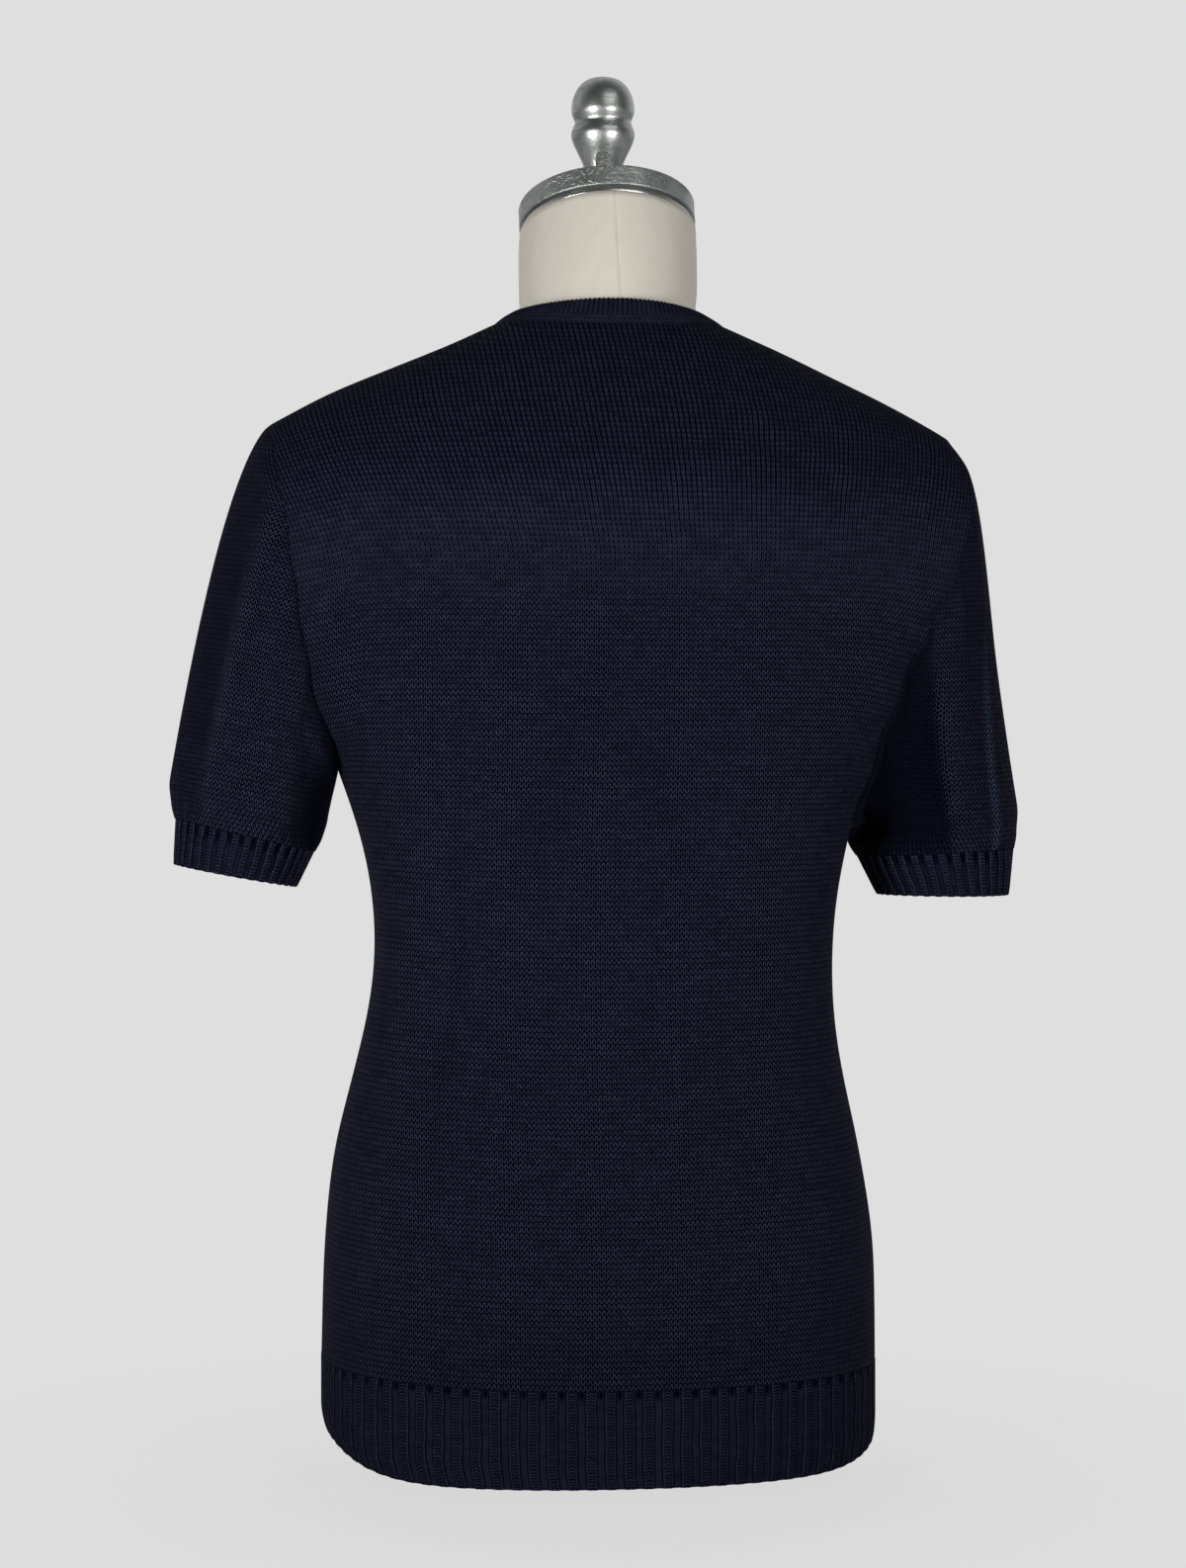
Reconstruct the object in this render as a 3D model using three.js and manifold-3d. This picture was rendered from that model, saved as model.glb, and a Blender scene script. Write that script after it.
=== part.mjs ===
// A short-sleeved knitted top with a crew neck, worn by a limbless dress form.
//
// Millimetres, +Z up. The wearer faces -Y and the wearer's left is +X. The origin is the middle
// of the foot's underside, on the surface that the form stands on.
//
// The cloth is one outer skin, cut along its seams. Rows run across the body panels and rings run
// round the sleeves and bands; pieces that meet share the points of their seam, each drawn back
// by half the seam gap. A wall is a skin and its copy moved in by the cloth's thickness.

import * as THREE from "three";
import { mergeVertices } from "three/addons/utils/BufferGeometryUtils.js";
import Module from "manifold-3d";

const wasm = await Module();
wasm.setup();

// ------------------------------------------------------------------ driving dimensions
const CLOTH = 2.2; // plain knitted cloth
const RIB = 2.8; // ribbed cloth
const SEAM_GAP = 0.32; // between two pieces at their seam
const FORM_CLEARANCE = 1.2; // between the cloth's inside and the form

const COLUMNS = 20; // cells across a body panel
const BODY_ROWS = 9; // cells from the hem rib up to the underarm
const ARMHOLE_ROWS = 10; // cells up each half of an armhole
const SHOULDER_ROWS = 4; // cells along a shoulder seam
const SLEEVE_ROWS = 6; // cells from the armhole to the fullest ring above the cuff
const ARC_STEPS = 72; // fine steps of a row before it is divided evenly

const RIB_TOP = { left: 77, middle: 71, right: 73 }; // heights of the hem rib's upper edge
// The hem rib's free edge: its height at the middle and at each side, its reach to each side and
// on the middle lines, and how late towards the side it turns up. Above it the rib falls straight.
const HEM = {
  low: 10,
  leftEnd: 30,
  rightEnd: 24,
  turn: 9,
  left: 175.5,
  right: 178,
  back: 124,
  front: -117,
  straight: 0.36,
};

const SHARP = 0.25; // cosine between two pieces beyond which their seam is a sharp valley

const SQUARE_FREE = 2.3; // of the hem's free edge
const SQUARE_HEM = 2.45; // squareness of a level section, 2 being an ellipse
const SQUARE_WAIST = 2.25;
const SQUARE_CHEST = 2.5;
const SQUARE_SHOULDER = 2.1;
const SQUARE_PLATE = 2.2; // of the form where its arms would be

// Reach of the cloth to the sides below the arms, at each height.
const SIDES = [
  { z: 72, left: 178.6, right: 178.6 },
  { z: 150, left: 176.2, right: 177.4 },
  { z: 208, left: 170.0, right: 169.0 },
  { z: 259, left: 157.6, right: 158.2 },
  { z: 298, left: 148.4, right: 152.8 },
  { z: 336, left: 144.0, right: 152.0 },
  { z: 375, left: 146.2, right: 155.0 },
  { z: 413, left: 154.0, right: 163.0 },
  { z: 452, left: 168.0, right: 177.0 },
];

// Reach of the cloth on its middle lines, at each height.
const MIDDLES = [
  { z: 72, back: 125, front: -118 },
  { z: 150, back: 121, front: -116 },
  { z: 215, back: 110, front: -109 },
  { z: 275, back: 96, front: -103 },
  { z: 336, back: 88, front: -101 },
  { z: 400, back: 95, front: -107 },
  { z: 460, back: 105, front: -115 },
  { z: 530, back: 111, front: -117 },
  { z: 580, back: 109, front: -109 },
  { z: 625, back: 102, front: -92 },
  { z: 668, back: 89, front: -70 },
  { z: 705, back: 71, front: -60 },
  { z: 735, back: 50, front: -50 },
];

// Height on each middle line at the ends of the armhole rows and at the neckline.
const MIDDLE_HEIGHTS = {
  back: { underarm: 440, shoulder: 692, neckline: 735 },
  front: { underarm: 440, shoulder: 625, neckline: 668 },
};

// Each arm's opening, as distance from the middle plane at each height, back half and front half.
const ARMHOLES = {
  left: {
    low: 452,
    high: 672,
    backDepth: 64,
    frontDepth: 60,
    seam: [
      { z: 452, back: 168, front: 168 },
      { z: 509, back: 188, front: 185 },
      { z: 553, back: 196, front: 192 },
      { z: 597, back: 202, front: 198 },
      { z: 634, back: 208, front: 206 },
      { z: 672, back: 213, front: 213 },
    ],
  },
  right: {
    low: 419,
    high: 668,
    backDepth: 60,
    frontDepth: 60,
    seam: [
      { z: 419, back: 165, front: 165 },
      { z: 466, back: 175, front: 176 },
      { z: 510, back: 190, front: 186 },
      { z: 545, back: 207, front: 192 },
      { z: 580, back: 226, front: 199 },
      { z: 615, back: 237, front: 208 },
      { z: 645, back: 237, front: 219 },
      { z: 668, back: 230, front: 230 },
    ],
  },
};

// The shoulder seam, from the arm to the neck: its share of the way, reach and height.
const SHOULDERS = {
  left: [
    { way: 0, reach: 213, z: 672 },
    { way: 0.25, reach: 176, z: 692.5 },
    { way: 0.5, reach: 138.5, z: 708.5 },
    { way: 0.75, reach: 99, z: 725 },
    { way: 1, reach: 66, z: 741 },
  ],
  right: [
    { way: 0, reach: 230, z: 668 },
    { way: 0.25, reach: 194, z: 688 },
    { way: 0.5, reach: 155, z: 706.5 },
    { way: 0.75, reach: 120, z: 724 },
    { way: 1, reach: 83, z: 740 },
  ],
};
const SHOULDER_DEPTH = { arm: -2, neck: -10 }; // how far forward of the side seams the seam runs

// Rings of a sleeve, each given by its outer and inner ends, with its middle and half depth in Y.
const SLEEVES = {
  left: {
    full: { outer: [275.5, 446], inner: [174.5, 419], y: -6, depth: 62 },
    cuffTop: { outer: [271.5, 421], inner: [183, 400], y: -7, depth: 57 },
    cuffLow: { outer: [273, 391], inner: [194.5, 376.5], y: -8, depth: 55 },
  },
  right: {
    full: { outer: [280.5, 430], inner: [169, 408], y: -20, depth: 62 },
    cuffTop: { outer: [278.5, 401], inner: [176, 396], y: -22, depth: 57 },
    cuffLow: { outer: [275.5, 369.5], inner: [190, 369.5], y: -23, depth: 55 },
  },
};

// How a sleeve leaves the armhole and arrives at its fullest ring, as shares of its own length:
// underneath, over the shoulder, and its swell to the front and back.
const SLEEVE_LEAVES = {
  left: { under: { out: 0.2, down: 1 }, over: { out: 0.33, down: 0.33 }, swell: 0.16 },
  right: { under: { out: 0.2, down: 1 }, over: { out: 0.2, down: 0.33 }, swell: -0.05 },
};
const SLEEVE_ARRIVES = { out: 0.17, down: 1 };

// Long soft folds of the sleeves: where each lies round the sleeve as a share from underneath,
// its share of the length from armhole to cuff, its depth and its width as a share round.
const FOLDS = [
  { side: "left", around: 0.3, from: 0.15, to: 1, depth: 4, width: 0.05 },
  { side: "left", around: 0.72, from: 0.1, to: 0.9, depth: 3.5, width: 0.05 },
  { side: "right", around: 0.62, from: 0.2, to: 1, depth: 5, width: 0.06 },
  { side: "right", around: 0.27, from: 0.1, to: 0.9, depth: 3.5, width: 0.05 },
];

// The neck band's free edge: its ends, height and the middles of its back and front.
const BAND_TOP = {
  left: 55,
  right: 72.6,
  y: -11,
  leftZ: 748.5,
  rightZ: 745.5,
  back: { x: -7, y: 46.5, z: 752 },
  front: { x: -7, y: -63, z: 684 },
};

// The bare neck of the form: rows up from under the band to the slanted top.
const NECK_ROWS = [
  { left: 51, right: 66.2, side: 746, back: 42, backZ: 749, front: -54, frontZ: 693 },
  { left: 50.2, right: 66.2, side: 764, back: 41.7, backZ: 774, front: -56, frontZ: 722 },
  { left: 50.3, right: 66, side: 785, back: 41.6, backZ: 799, front: -61.5, frontZ: 753 },
  { left: 49.6, right: 65.2, side: 801, back: 41.5, backZ: 820.5, front: -65.5, frontZ: 781.5 },
];
const NECK = { x: -7.8, y: -12, z: 801, slant: 20 }; // middle of the top, degrees leaning forward

const FORM_BOTTOM = 60;
const FORM_COLUMNS = 40;
// How the rows above the underarms are eased into each other, and how many columns in from the
// panel's edges that starts.
const SOFT_PASSES = 3;
const SOFT_REACH = 4;

// The reach of the form where it closes across its armholes, at their lower and upper ends.
const PLATE = { left: { low: 165, high: 206 }, right: { low: 162, high: 211 } };
const FORM_HEM_CLEARANCE = 3.5; // more room inside the rib
const FORM_TAPER = 4; // and more again at the form's underside

const FOOT = { halfWidth: 100, halfDepth: 60, height: 59.5, edge: 1.5 };

const FLANGE = { radius: 56.3, height: 2.2, spacerRadius: 51, spacerHeight: 4.2 };
const CAP = { radius: 57.4, height: 14, bevel: 1.2 };

// The finial stands upright on the slanted cap. Heights of its turned profile are above z = 0 at
// the middle of the cap's underside; its stem is cut to the cap's slant.
const FINIAL = {
  x: -5.5,
  y: -18,
  stem: { radius: 10.5, height: 33 },
  taper: { radius: 13.4, height: 43.5 },
  ring: { radius: 20.4, height: 64.3 },
  groove: { radius: 18.7, height: 69.5 },
  egg: { radius: 20.5, height: 79.5, top: 102.8 },
};
const LUG = { width: 10.5, depth: 4, height: 24, x: 4.4, y: 27 };

// ------------------------------------------------------------------ small helpers
const lerp = THREE.MathUtils.lerp;
const vec = (x, y, z) => new THREE.Vector3(x, y, z);

// A smooth curve through a table's column, read where its key column has the value `at`.
function along(table, key, column, at) {
  const last = table.length - 1;
  let row = 0;
  while (row < last - 1 && at > table[row + 1][key]) row += 1;
  const slope = (k) => {
    const before = table[Math.max(k - 1, 0)];
    const after = table[Math.min(k + 1, last)];
    return (after[column] - before[column]) / (after[key] - before[key]);
  };
  const low = table[row];
  const high = table[row + 1];
  const span = high[key] - low[key];
  const t = (at - low[key]) / span;
  const rise = high[column] - low[column];
  const a = slope(row) * span - rise;
  const b = rise - slope(row + 1) * span;
  return low[column] + t * rise + t * (1 - t) * (a * (1 - t) + b * t);
}

// The same points spread at even distances along their polyline.
function spread(points, cells) {
  const reach = [0];
  for (let i = 1; i < points.length; i += 1) {
    reach.push(reach[i - 1] + points[i].distanceTo(points[i - 1]));
  }
  const total = reach[reach.length - 1];
  const out = [];
  let i = 1;
  for (let k = 0; k <= cells; k += 1) {
    const want = (total * k) / cells;
    while (i < points.length - 1 && reach[i] < want) i += 1;
    const share = (want - reach[i - 1]) / (reach[i] - reach[i - 1]);
    out.push(points[i - 1].clone().lerp(points[i], THREE.MathUtils.clamp(share, 0, 1)));
  }
  return out;
}

// ------------------------------------------------------------------ rows of the body
// A row's arc from its middle point out to one edge: part of a squared ellipse about (middle.x,
// depth), which starts level and passes through the edge.
function arc(row, edge) {
  const power = 2 / row.square;
  const deep = row.middle.y - row.depth;
  const share = THREE.MathUtils.clamp((edge.y - row.depth) / deep, 0, 1);
  const last = Math.acos(share ** (1 / power));
  const full = Math.sin(last) ** power;
  const points = [];
  for (let k = 0; k <= ARC_STEPS; k += 1) {
    const angle = (last * k) / ARC_STEPS;
    const out = Math.sin(angle) ** power / full;
    const across = lerp(row.middle.x, edge.x, out);
    const y = row.depth + deep * Math.cos(angle) ** power;
    points.push(vec(across, k === ARC_STEPS ? edge.y : y, lerp(row.middle.z, edge.z, out * out)));
  }
  return points;
}

// A whole row between its two edges, evenly divided: left to right on the back, right to left
// on the front, so that rows of both panels run the same way round the body.
function panelRow(row, face, cells) {
  const left = arc(row, row.left).reverse();
  const right = arc(row, row.right);
  const points = spread([...left, ...right.slice(1)], cells);
  return face === "back" ? points : points.reverse();
}

function bodyRow(face, share) {
  const z = lerp(RIB_TOP.middle, MIDDLE_HEIGHTS[face].underarm, share);
  const leftZ = lerp(RIB_TOP.left, ARMHOLES.left.low, share);
  const rightZ = lerp(RIB_TOP.right, ARMHOLES.right.low, share);
  const left = along(SIDES, "z", "left", leftZ);
  const right = along(SIDES, "z", "right", rightZ);
  const square =
    share < 0.6
      ? lerp(SQUARE_HEM, SQUARE_WAIST, share / 0.6)
      : lerp(SQUARE_WAIST, SQUARE_CHEST, (share - 0.6) / 0.4);
  return {
    square,
    depth: 0,
    middle: vec((left - right) / 2, along(MIDDLES, "z", face, z), z),
    left: vec(left, 0, leftZ),
    right: vec(-right, 0, rightZ),
  };
}

// The point of an armhole at a share of the way up its back or front half.
function armholePoint(side, face, share) {
  const hole = ARMHOLES[side];
  const z = lerp(hole.low, hole.high, (1 - Math.cos(Math.PI * share)) / 2);
  const reach = along(hole.seam, "z", face, z);
  const swing = Math.sin(Math.PI * share);
  const y = face === "back" ? hole.backDepth * swing : -hole.frontDepth * swing;
  return vec(side === "left" ? reach : -reach, y + SHOULDER_DEPTH.arm * share, z);
}

function armholeRow(face, share) {
  const heights = MIDDLE_HEIGHTS[face];
  const eased = (share + (1 - Math.cos(Math.PI * share)) / 2) / 2;
  const z = lerp(heights.underarm, heights.shoulder, eased);
  const left = armholePoint("left", face, share);
  const right = armholePoint("right", face, share);
  return {
    square: lerp(SQUARE_CHEST, SQUARE_SHOULDER, share),
    depth: SHOULDER_DEPTH.arm * share,
    middle: vec(-3, along(MIDDLES, "z", face, z), z),
    left,
    right,
  };
}

function shoulderRow(face, share) {
  const heights = MIDDLE_HEIGHTS[face];
  const z = lerp(heights.shoulder, heights.neckline, share);
  const y = lerp(SHOULDER_DEPTH.arm, SHOULDER_DEPTH.neck, share);
  const end = (side, sign) =>
    vec(
      sign * along(SHOULDERS[side], "way", "reach", share),
      y,
      along(SHOULDERS[side], "way", "z", share),
    );
  return {
    square: SQUARE_SHOULDER,
    depth: y,
    middle: vec(lerp(-3, -4, share), along(MIDDLES, "z", face, z), z),
    left: end("left", 1),
    right: end("right", -1),
  };
}

// Every row of a face, from the hem rib up to the neckline.
function faceRows(face) {
  const rows = [];
  for (let k = 0; k < BODY_ROWS; k += 1) rows.push(bodyRow(face, k / BODY_ROWS));
  for (let k = 0; k < ARMHOLE_ROWS; k += 1) rows.push(armholeRow(face, k / ARMHOLE_ROWS));
  for (let k = 0; k <= SHOULDER_ROWS; k += 1) rows.push(shoulderRow(face, k / SHOULDER_ROWS));
  return rows;
}

// ------------------------------------------------------------------ skins
// A skin is { points, normals, closed }: rows of points, and rows that close on themselves if
// closed. Across a row and up the rows, the right-hand rule points out of the cloth.
function makeSkin(points, closed) {
  const rows = points.length;
  const cells = points[0].length;
  const step = (r, c, dr, dc) => {
    const wrap = (k) => (closed ? (k + cells) % cells : Math.min(Math.max(k, 0), cells - 1));
    const from = points[Math.max(r - dr, 0)][wrap(c - dc)];
    const to = points[Math.min(r + dr, rows - 1)][wrap(c + dc)];
    return to.clone().sub(from);
  };
  const normals = points.map((row, r) =>
    row.map((_, c) => step(r, c, 0, 1).cross(step(r, c, 1, 0)).normalize()),
  );
  return { points, normals, closed };
}

// Eases rows into each other, apart from the first and last, and from the ends of open rows.
function soften(rows, closed) {
  let eased = rows;
  for (let pass = 0; pass < SOFT_PASSES; pass += 1) {
    const from = eased;
    const last = from.length - 1;
    eased = from.map((row, r) =>
      row.map((p, c) => {
        const inward = closed ? 1 : Math.min(c, row.length - 1 - c) / SOFT_REACH;
        if (r === 0 || r === last) return p;
        const around = from[r - 1][c].clone().lerp(from[r + 1][c], 0.5);
        return p.clone().lerp(around, 0.5 * Math.min(inward, 1));
      }),
    );
  }
  return eased;
}

// Skins that meet at a point share one normal there, but not across a sharp valley. Each group
// lists the [skin, row, column] of every piece that has the point.
function joinNormals(groups) {
  for (const group of groups) {
    const normals = group.map(([skin, r, c]) => skin.normals[r][c]);
    const level = normals.filter((n) => n.dot(normals[0]) > SHARP);
    const shared = level.reduce((sum, n) => sum.add(n), vec(0, 0, 0)).normalize();
    level.forEach((n) => n.copy(shared));
  }
}

// The skin with its edges drawn back along itself by half the seam gap.
function drawBack(skin) {
  const { points, normals, closed } = skin;
  const rows = points.length;
  const cells = points[0].length;
  const moved = points.map((row) => row.map((p) => p.clone()));
  const shift = (r, c, from, to, turn) => {
    const side = to.clone().sub(from).cross(normals[r][c]).normalize();
    moved[r][c].addScaledVector(side, (turn * SEAM_GAP) / 2);
  };
  for (let c = 0; c < cells; c += 1) {
    const before = closed ? (c + cells - 1) % cells : Math.max(c - 1, 0);
    const after = closed ? (c + 1) % cells : Math.min(c + 1, cells - 1);
    shift(0, c, points[0][before], points[0][after], -1);
    shift(rows - 1, c, points[rows - 1][before], points[rows - 1][after], 1);
  }
  for (let r = 0; r < rows && !closed; r += 1) {
    const before = Math.max(r - 1, 0);
    const after = Math.min(r + 1, rows - 1);
    shift(r, 0, points[before][0], points[after][0], 1);
    shift(r, cells - 1, points[before][cells - 1], points[after][cells - 1], -1);
  }
  return { points: moved, normals, closed };
}

// A closed wall: the skin, its copy moved in by the thickness, and the edges between them.
function wall(skin, thickness) {
  const { points, normals, closed } = drawBack(skin);
  const rows = points.length;
  const cells = points[0].length;
  const positions = [];
  for (const depth of [0, thickness]) {
    points.forEach((row, r) =>
      row.forEach((p, c) => {
        const q = p.clone().addScaledVector(normals[r][c], -depth);
        positions.push(q.x, q.y, q.z);
      }),
    );
  }
  const outer = (r, c) => r * cells + (c % cells);
  const inner = (r, c) => rows * cells + outer(r, c);
  const index = [];
  const quad = (a, b, c, d) => index.push(a, b, c, a, c, d);
  const across = closed ? cells : cells - 1;
  for (let r = 0; r < rows - 1; r += 1) {
    for (let c = 0; c < across; c += 1) {
      quad(outer(r, c), outer(r, c + 1), outer(r + 1, c + 1), outer(r + 1, c));
      quad(inner(r, c), inner(r + 1, c), inner(r + 1, c + 1), inner(r, c + 1));
    }
  }
  for (let c = 0; c < across; c += 1) {
    quad(outer(0, c + 1), outer(0, c), inner(0, c), inner(0, c + 1));
    const top = rows - 1;
    quad(outer(top, c), outer(top, c + 1), inner(top, c + 1), inner(top, c));
  }
  for (let r = 0; r < rows - 1 && !closed; r += 1) {
    quad(outer(r, 0), outer(r + 1, 0), inner(r + 1, 0), inner(r, 0));
    const end = cells - 1;
    quad(outer(r + 1, end), outer(r, end), inner(r, end), inner(r + 1, end));
  }
  return new THREE.BufferGeometry()
    .setAttribute("position", new THREE.Float32BufferAttribute(positions, 3))
    .setIndex(index);
}

// ------------------------------------------------------------------ body panels
const panelRows = { back: faceRows("back"), front: faceRows("front") };
function panelPoints(face) {
  const rows = panelRows[face].map((row) => panelRow(row, face, COLUMNS));
  return [...rows.slice(0, BODY_ROWS), ...soften(rows.slice(BODY_ROWS), false)];
}
const back = makeSkin(panelPoints("back"), false);
const front = makeSkin(panelPoints("front"), false);

// A ring round the body at one row, from the back panel's row and then the front panel's.
const roundBody = (r) => [...back.points[r].slice(0, -1), ...front.points[r].slice(0, -1)];

// ------------------------------------------------------------------ sleeves
// An armhole's ring starts underneath, runs up one panel's edge and down the other's. Each entry
// lists the [skin, row, column] of the panel points there: two at the underarm and the shoulder.
function armholeRing(side) {
  const [first, second] = side === "left" ? [back, front] : [front, back];
  const ring = [];
  for (let k = 0; k < 2 * ARMHOLE_ROWS; k += 1) {
    const row = BODY_ROWS + (k <= ARMHOLE_ROWS ? k : 2 * ARMHOLE_ROWS - k);
    const up = [first, row, 0];
    const down = [second, row, COLUMNS];
    if (k % ARMHOLE_ROWS === 0) ring.push([up, down]);
    else ring.push(k < ARMHOLE_ROWS ? [up] : [down]);
  }
  return ring;
}

// The point of a sleeve ring at a share of the way round from underneath.
function ringPoint(side, ring, share) {
  const sign = side === "left" ? 1 : -1;
  const angle = 2 * Math.PI * share;
  const out = (1 - Math.cos(angle)) / 2;
  const x = sign * lerp(ring.inner[0], ring.outer[0], out);
  const z = lerp(ring.inner[1], ring.outer[1], out);
  return vec(x, ring.y + sign * ring.depth * Math.sin(angle), z);
}

// The sleeve's line from the armhole to its fullest ring, at one share of the way round.
function sleeveLine(side, start, share, t) {
  const sign = side === "left" ? 1 : -1;
  const end = ringPoint(side, SLEEVES[side].full, share);
  const length = end.distanceTo(start);
  const high = (1 - Math.cos(2 * Math.PI * share)) / 2;
  const { under, over, swell } = SLEEVE_LEAVES[side];
  const leave = vec(
    sign * lerp(under.out, over.out, high),
    sign * swell * Math.sin(2 * Math.PI * share),
    -lerp(under.down, over.down, high),
  ).multiplyScalar(length);
  const arrive = vec(sign * SLEEVE_ARRIVES.out, 0, -SLEEVE_ARRIVES.down).multiplyScalar(length);
  const t2 = t * t;
  const t3 = t2 * t;
  return start
    .clone()
    .multiplyScalar(2 * t3 - 3 * t2 + 1)
    .addScaledVector(leave, t3 - 2 * t2 + t)
    .addScaledVector(end, 3 * t2 - 2 * t3)
    .addScaledVector(arrive, t3 - t2);
}

// How deep the folds of a sleeve are at a share of the way round and along it.
function foldDepth(side, share, t) {
  let deep = 0;
  for (const fold of FOLDS.filter((each) => each.side === side)) {
    const way = THREE.MathUtils.clamp((t - fold.from) / (fold.to - fold.from), 0, 1);
    const across = (share - fold.around) / fold.width;
    deep += fold.depth * Math.sin(Math.PI * way) * Math.exp(-across * across);
  }
  return deep;
}

function makeSleeve(side) {
  const ring = armholeRing(side);
  const starts = ring.map(([[skin, r, c]]) => skin.points[r][c]);
  const rows = [];
  for (let k = 0; k <= SLEEVE_ROWS; k += 1) {
    const t = k / SLEEVE_ROWS;
    rows.push(starts.map((start, i) => sleeveLine(side, start, i / ring.length, t)));
  }
  const { cuffTop } = SLEEVES[side];
  rows.push(ring.map((_, i) => ringPoint(side, cuffTop, i / ring.length)));
  const smooth = makeSkin(rows, true);
  const folded = rows.map((row, k) =>
    row.map((p, i) => {
      const deep = foldDepth(side, i / ring.length, k / (SLEEVE_ROWS + 1));
      return p.clone().addScaledVector(smooth.normals[k][i], -deep);
    }),
  );
  return makeSkin(folded, true);
}

function makeCuff(side) {
  const { cuffTop, cuffLow } = SLEEVES[side];
  const count = 2 * ARMHOLE_ROWS;
  const row = (t) =>
    Array.from({ length: count }, (_, i) =>
      ringPoint(side, cuffTop, i / count).lerp(ringPoint(side, cuffLow, i / count), t),
    );
  return makeSkin([row(0), row(0.5), row(1)], true);
}

// ------------------------------------------------------------------ bands
function makeHem() {
  const top = roundBody(0);
  const { middle } = panelRows.back[0];
  const free = (face) => ({
    square: SQUARE_FREE,
    depth: 0,
    middle: vec(middle.x, HEM[face], HEM.low),
    left: vec(HEM.left, 0, HEM.low),
    right: vec(-HEM.right, 0, HEM.low),
  });
  const low = [
    ...panelRow(free("back"), "back", COLUMNS).slice(0, -1),
    ...panelRow(free("front"), "front", COLUMNS).slice(0, -1),
  ];
  for (const p of low) {
    const [end, reach] = p.x > middle.x ? [HEM.leftEnd, HEM.left] : [HEM.rightEnd, HEM.right];
    const out = Math.abs(p.x - middle.x) / (reach + Math.abs(middle.x));
    p.z = lerp(HEM.low, end, out ** HEM.turn);
  }
  const above = low.map((p, i) => {
    const q = top[i].clone();
    return q.setZ(lerp(p.z, q.z, HEM.straight));
  });
  return makeSkin([low, above, top], true);
}

function makeBand() {
  const seam = roundBody(back.points.length - 1);
  const edge = (face) => {
    const { left, right, y, leftZ, rightZ } = BAND_TOP;
    const middle = BAND_TOP[face];
    return {
      square: SQUARE_SHOULDER,
      depth: y,
      middle: vec(middle.x, middle.y, middle.z),
      left: vec(left, y, leftZ),
      right: vec(-right, y, rightZ),
    };
  };
  const top = [
    ...panelRow(edge("back"), "back", COLUMNS).slice(0, -1),
    ...panelRow(edge("front"), "front", COLUMNS).slice(0, -1),
  ];
  const rows = [0, 0.5, 1].map((t) => seam.map((p, i) => p.clone().lerp(top[i], t)));
  return makeSkin(rows, true);
}

// ------------------------------------------------------------------ the dress form
// A full ring of the form from a back row and a front row.
function formRing(backRow, frontRow) {
  const half = FORM_COLUMNS / 2;
  return [
    ...panelRow(backRow, "back", half).slice(0, -1),
    ...panelRow(frontRow, "front", half).slice(0, -1),
  ];
}

// In the armholes the form closes across the opening, a little rounded.
function platedRow(row, face, share) {
  const plate = (side, sign) => {
    const rise = (1 - Math.cos(Math.PI * share)) / 2;
    const reach = lerp(PLATE[side].low, PLATE[side].high, rise);
    return vec(sign * reach, row.depth, row[side].z);
  };
  return {
    ...row,
    square: lerp(row.square, SQUARE_PLATE, Math.sin(Math.PI * share)),
    left: plate("left", 1),
    right: plate("right", -1),
  };
}

function neckRow(row, face) {
  const behind = face === "back";
  return {
    square: 2,
    depth: NECK.y,
    middle: vec(NECK.x, behind ? row.back : row.front, behind ? row.backZ : row.frontZ),
    left: vec(row.left, NECK.y, row.side),
    right: vec(-row.right, NECK.y, row.side),
  };
}

// The slanted top ring lies in one plane.
function ontoSlant(p) {
  const z = NECK.z + (p.y - NECK.y) * Math.tan(THREE.MathUtils.degToRad(NECK.slant));
  return vec(p.x, p.y, z);
}

function makeForm() {
  const rows = [];
  const insets = [];
  const add = (ring, inset) => {
    rows.push(ring);
    insets.push(inset);
  };
  const flat = (face) => {
    const row = bodyRow(face, 0);
    for (const p of [row.middle, row.left, row.right]) p.z = FORM_BOTTOM;
    return row;
  };
  const close = CLOTH + FORM_CLEARANCE;
  add(formRing(flat("back"), flat("front")), RIB + FORM_HEM_CLEARANCE + FORM_TAPER);
  panelRows.back.forEach((backRow, r) => {
    const frontRow = panelRows.front[r];
    const share = (r - BODY_ROWS) / ARMHOLE_ROWS;
    const inHole = share >= 0 && share <= 1;
    const pair = inHole
      ? [platedRow(backRow, "back", share), platedRow(frontRow, "front", share)]
      : [backRow, frontRow];
    const neckline = r === panelRows.back.length - 1;
    const inset = neckline ? RIB + 2 * FORM_CLEARANCE : close;
    add(formRing(...pair), r === 0 ? RIB + FORM_HEM_CLEARANCE : inset);
  });
  rows.push(...soften(rows.splice(BODY_ROWS + 1), true));
  NECK_ROWS.forEach((row) => add(formRing(neckRow(row, "back"), neckRow(row, "front")), 0));
  const last = rows.length - 1;
  rows[last] = rows[last].map(ontoSlant);
  const skin = makeSkin(rows, true);
  const inside = skin.points.map((row, r) =>
    row.map((p, c) => {
      const q = p.clone().addScaledVector(skin.normals[r][c], -insets[r]);
      return r === 0 ? q.setZ(FORM_BOTTOM) : q;
    }),
  );
  return solidOfRings(inside);
}

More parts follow.
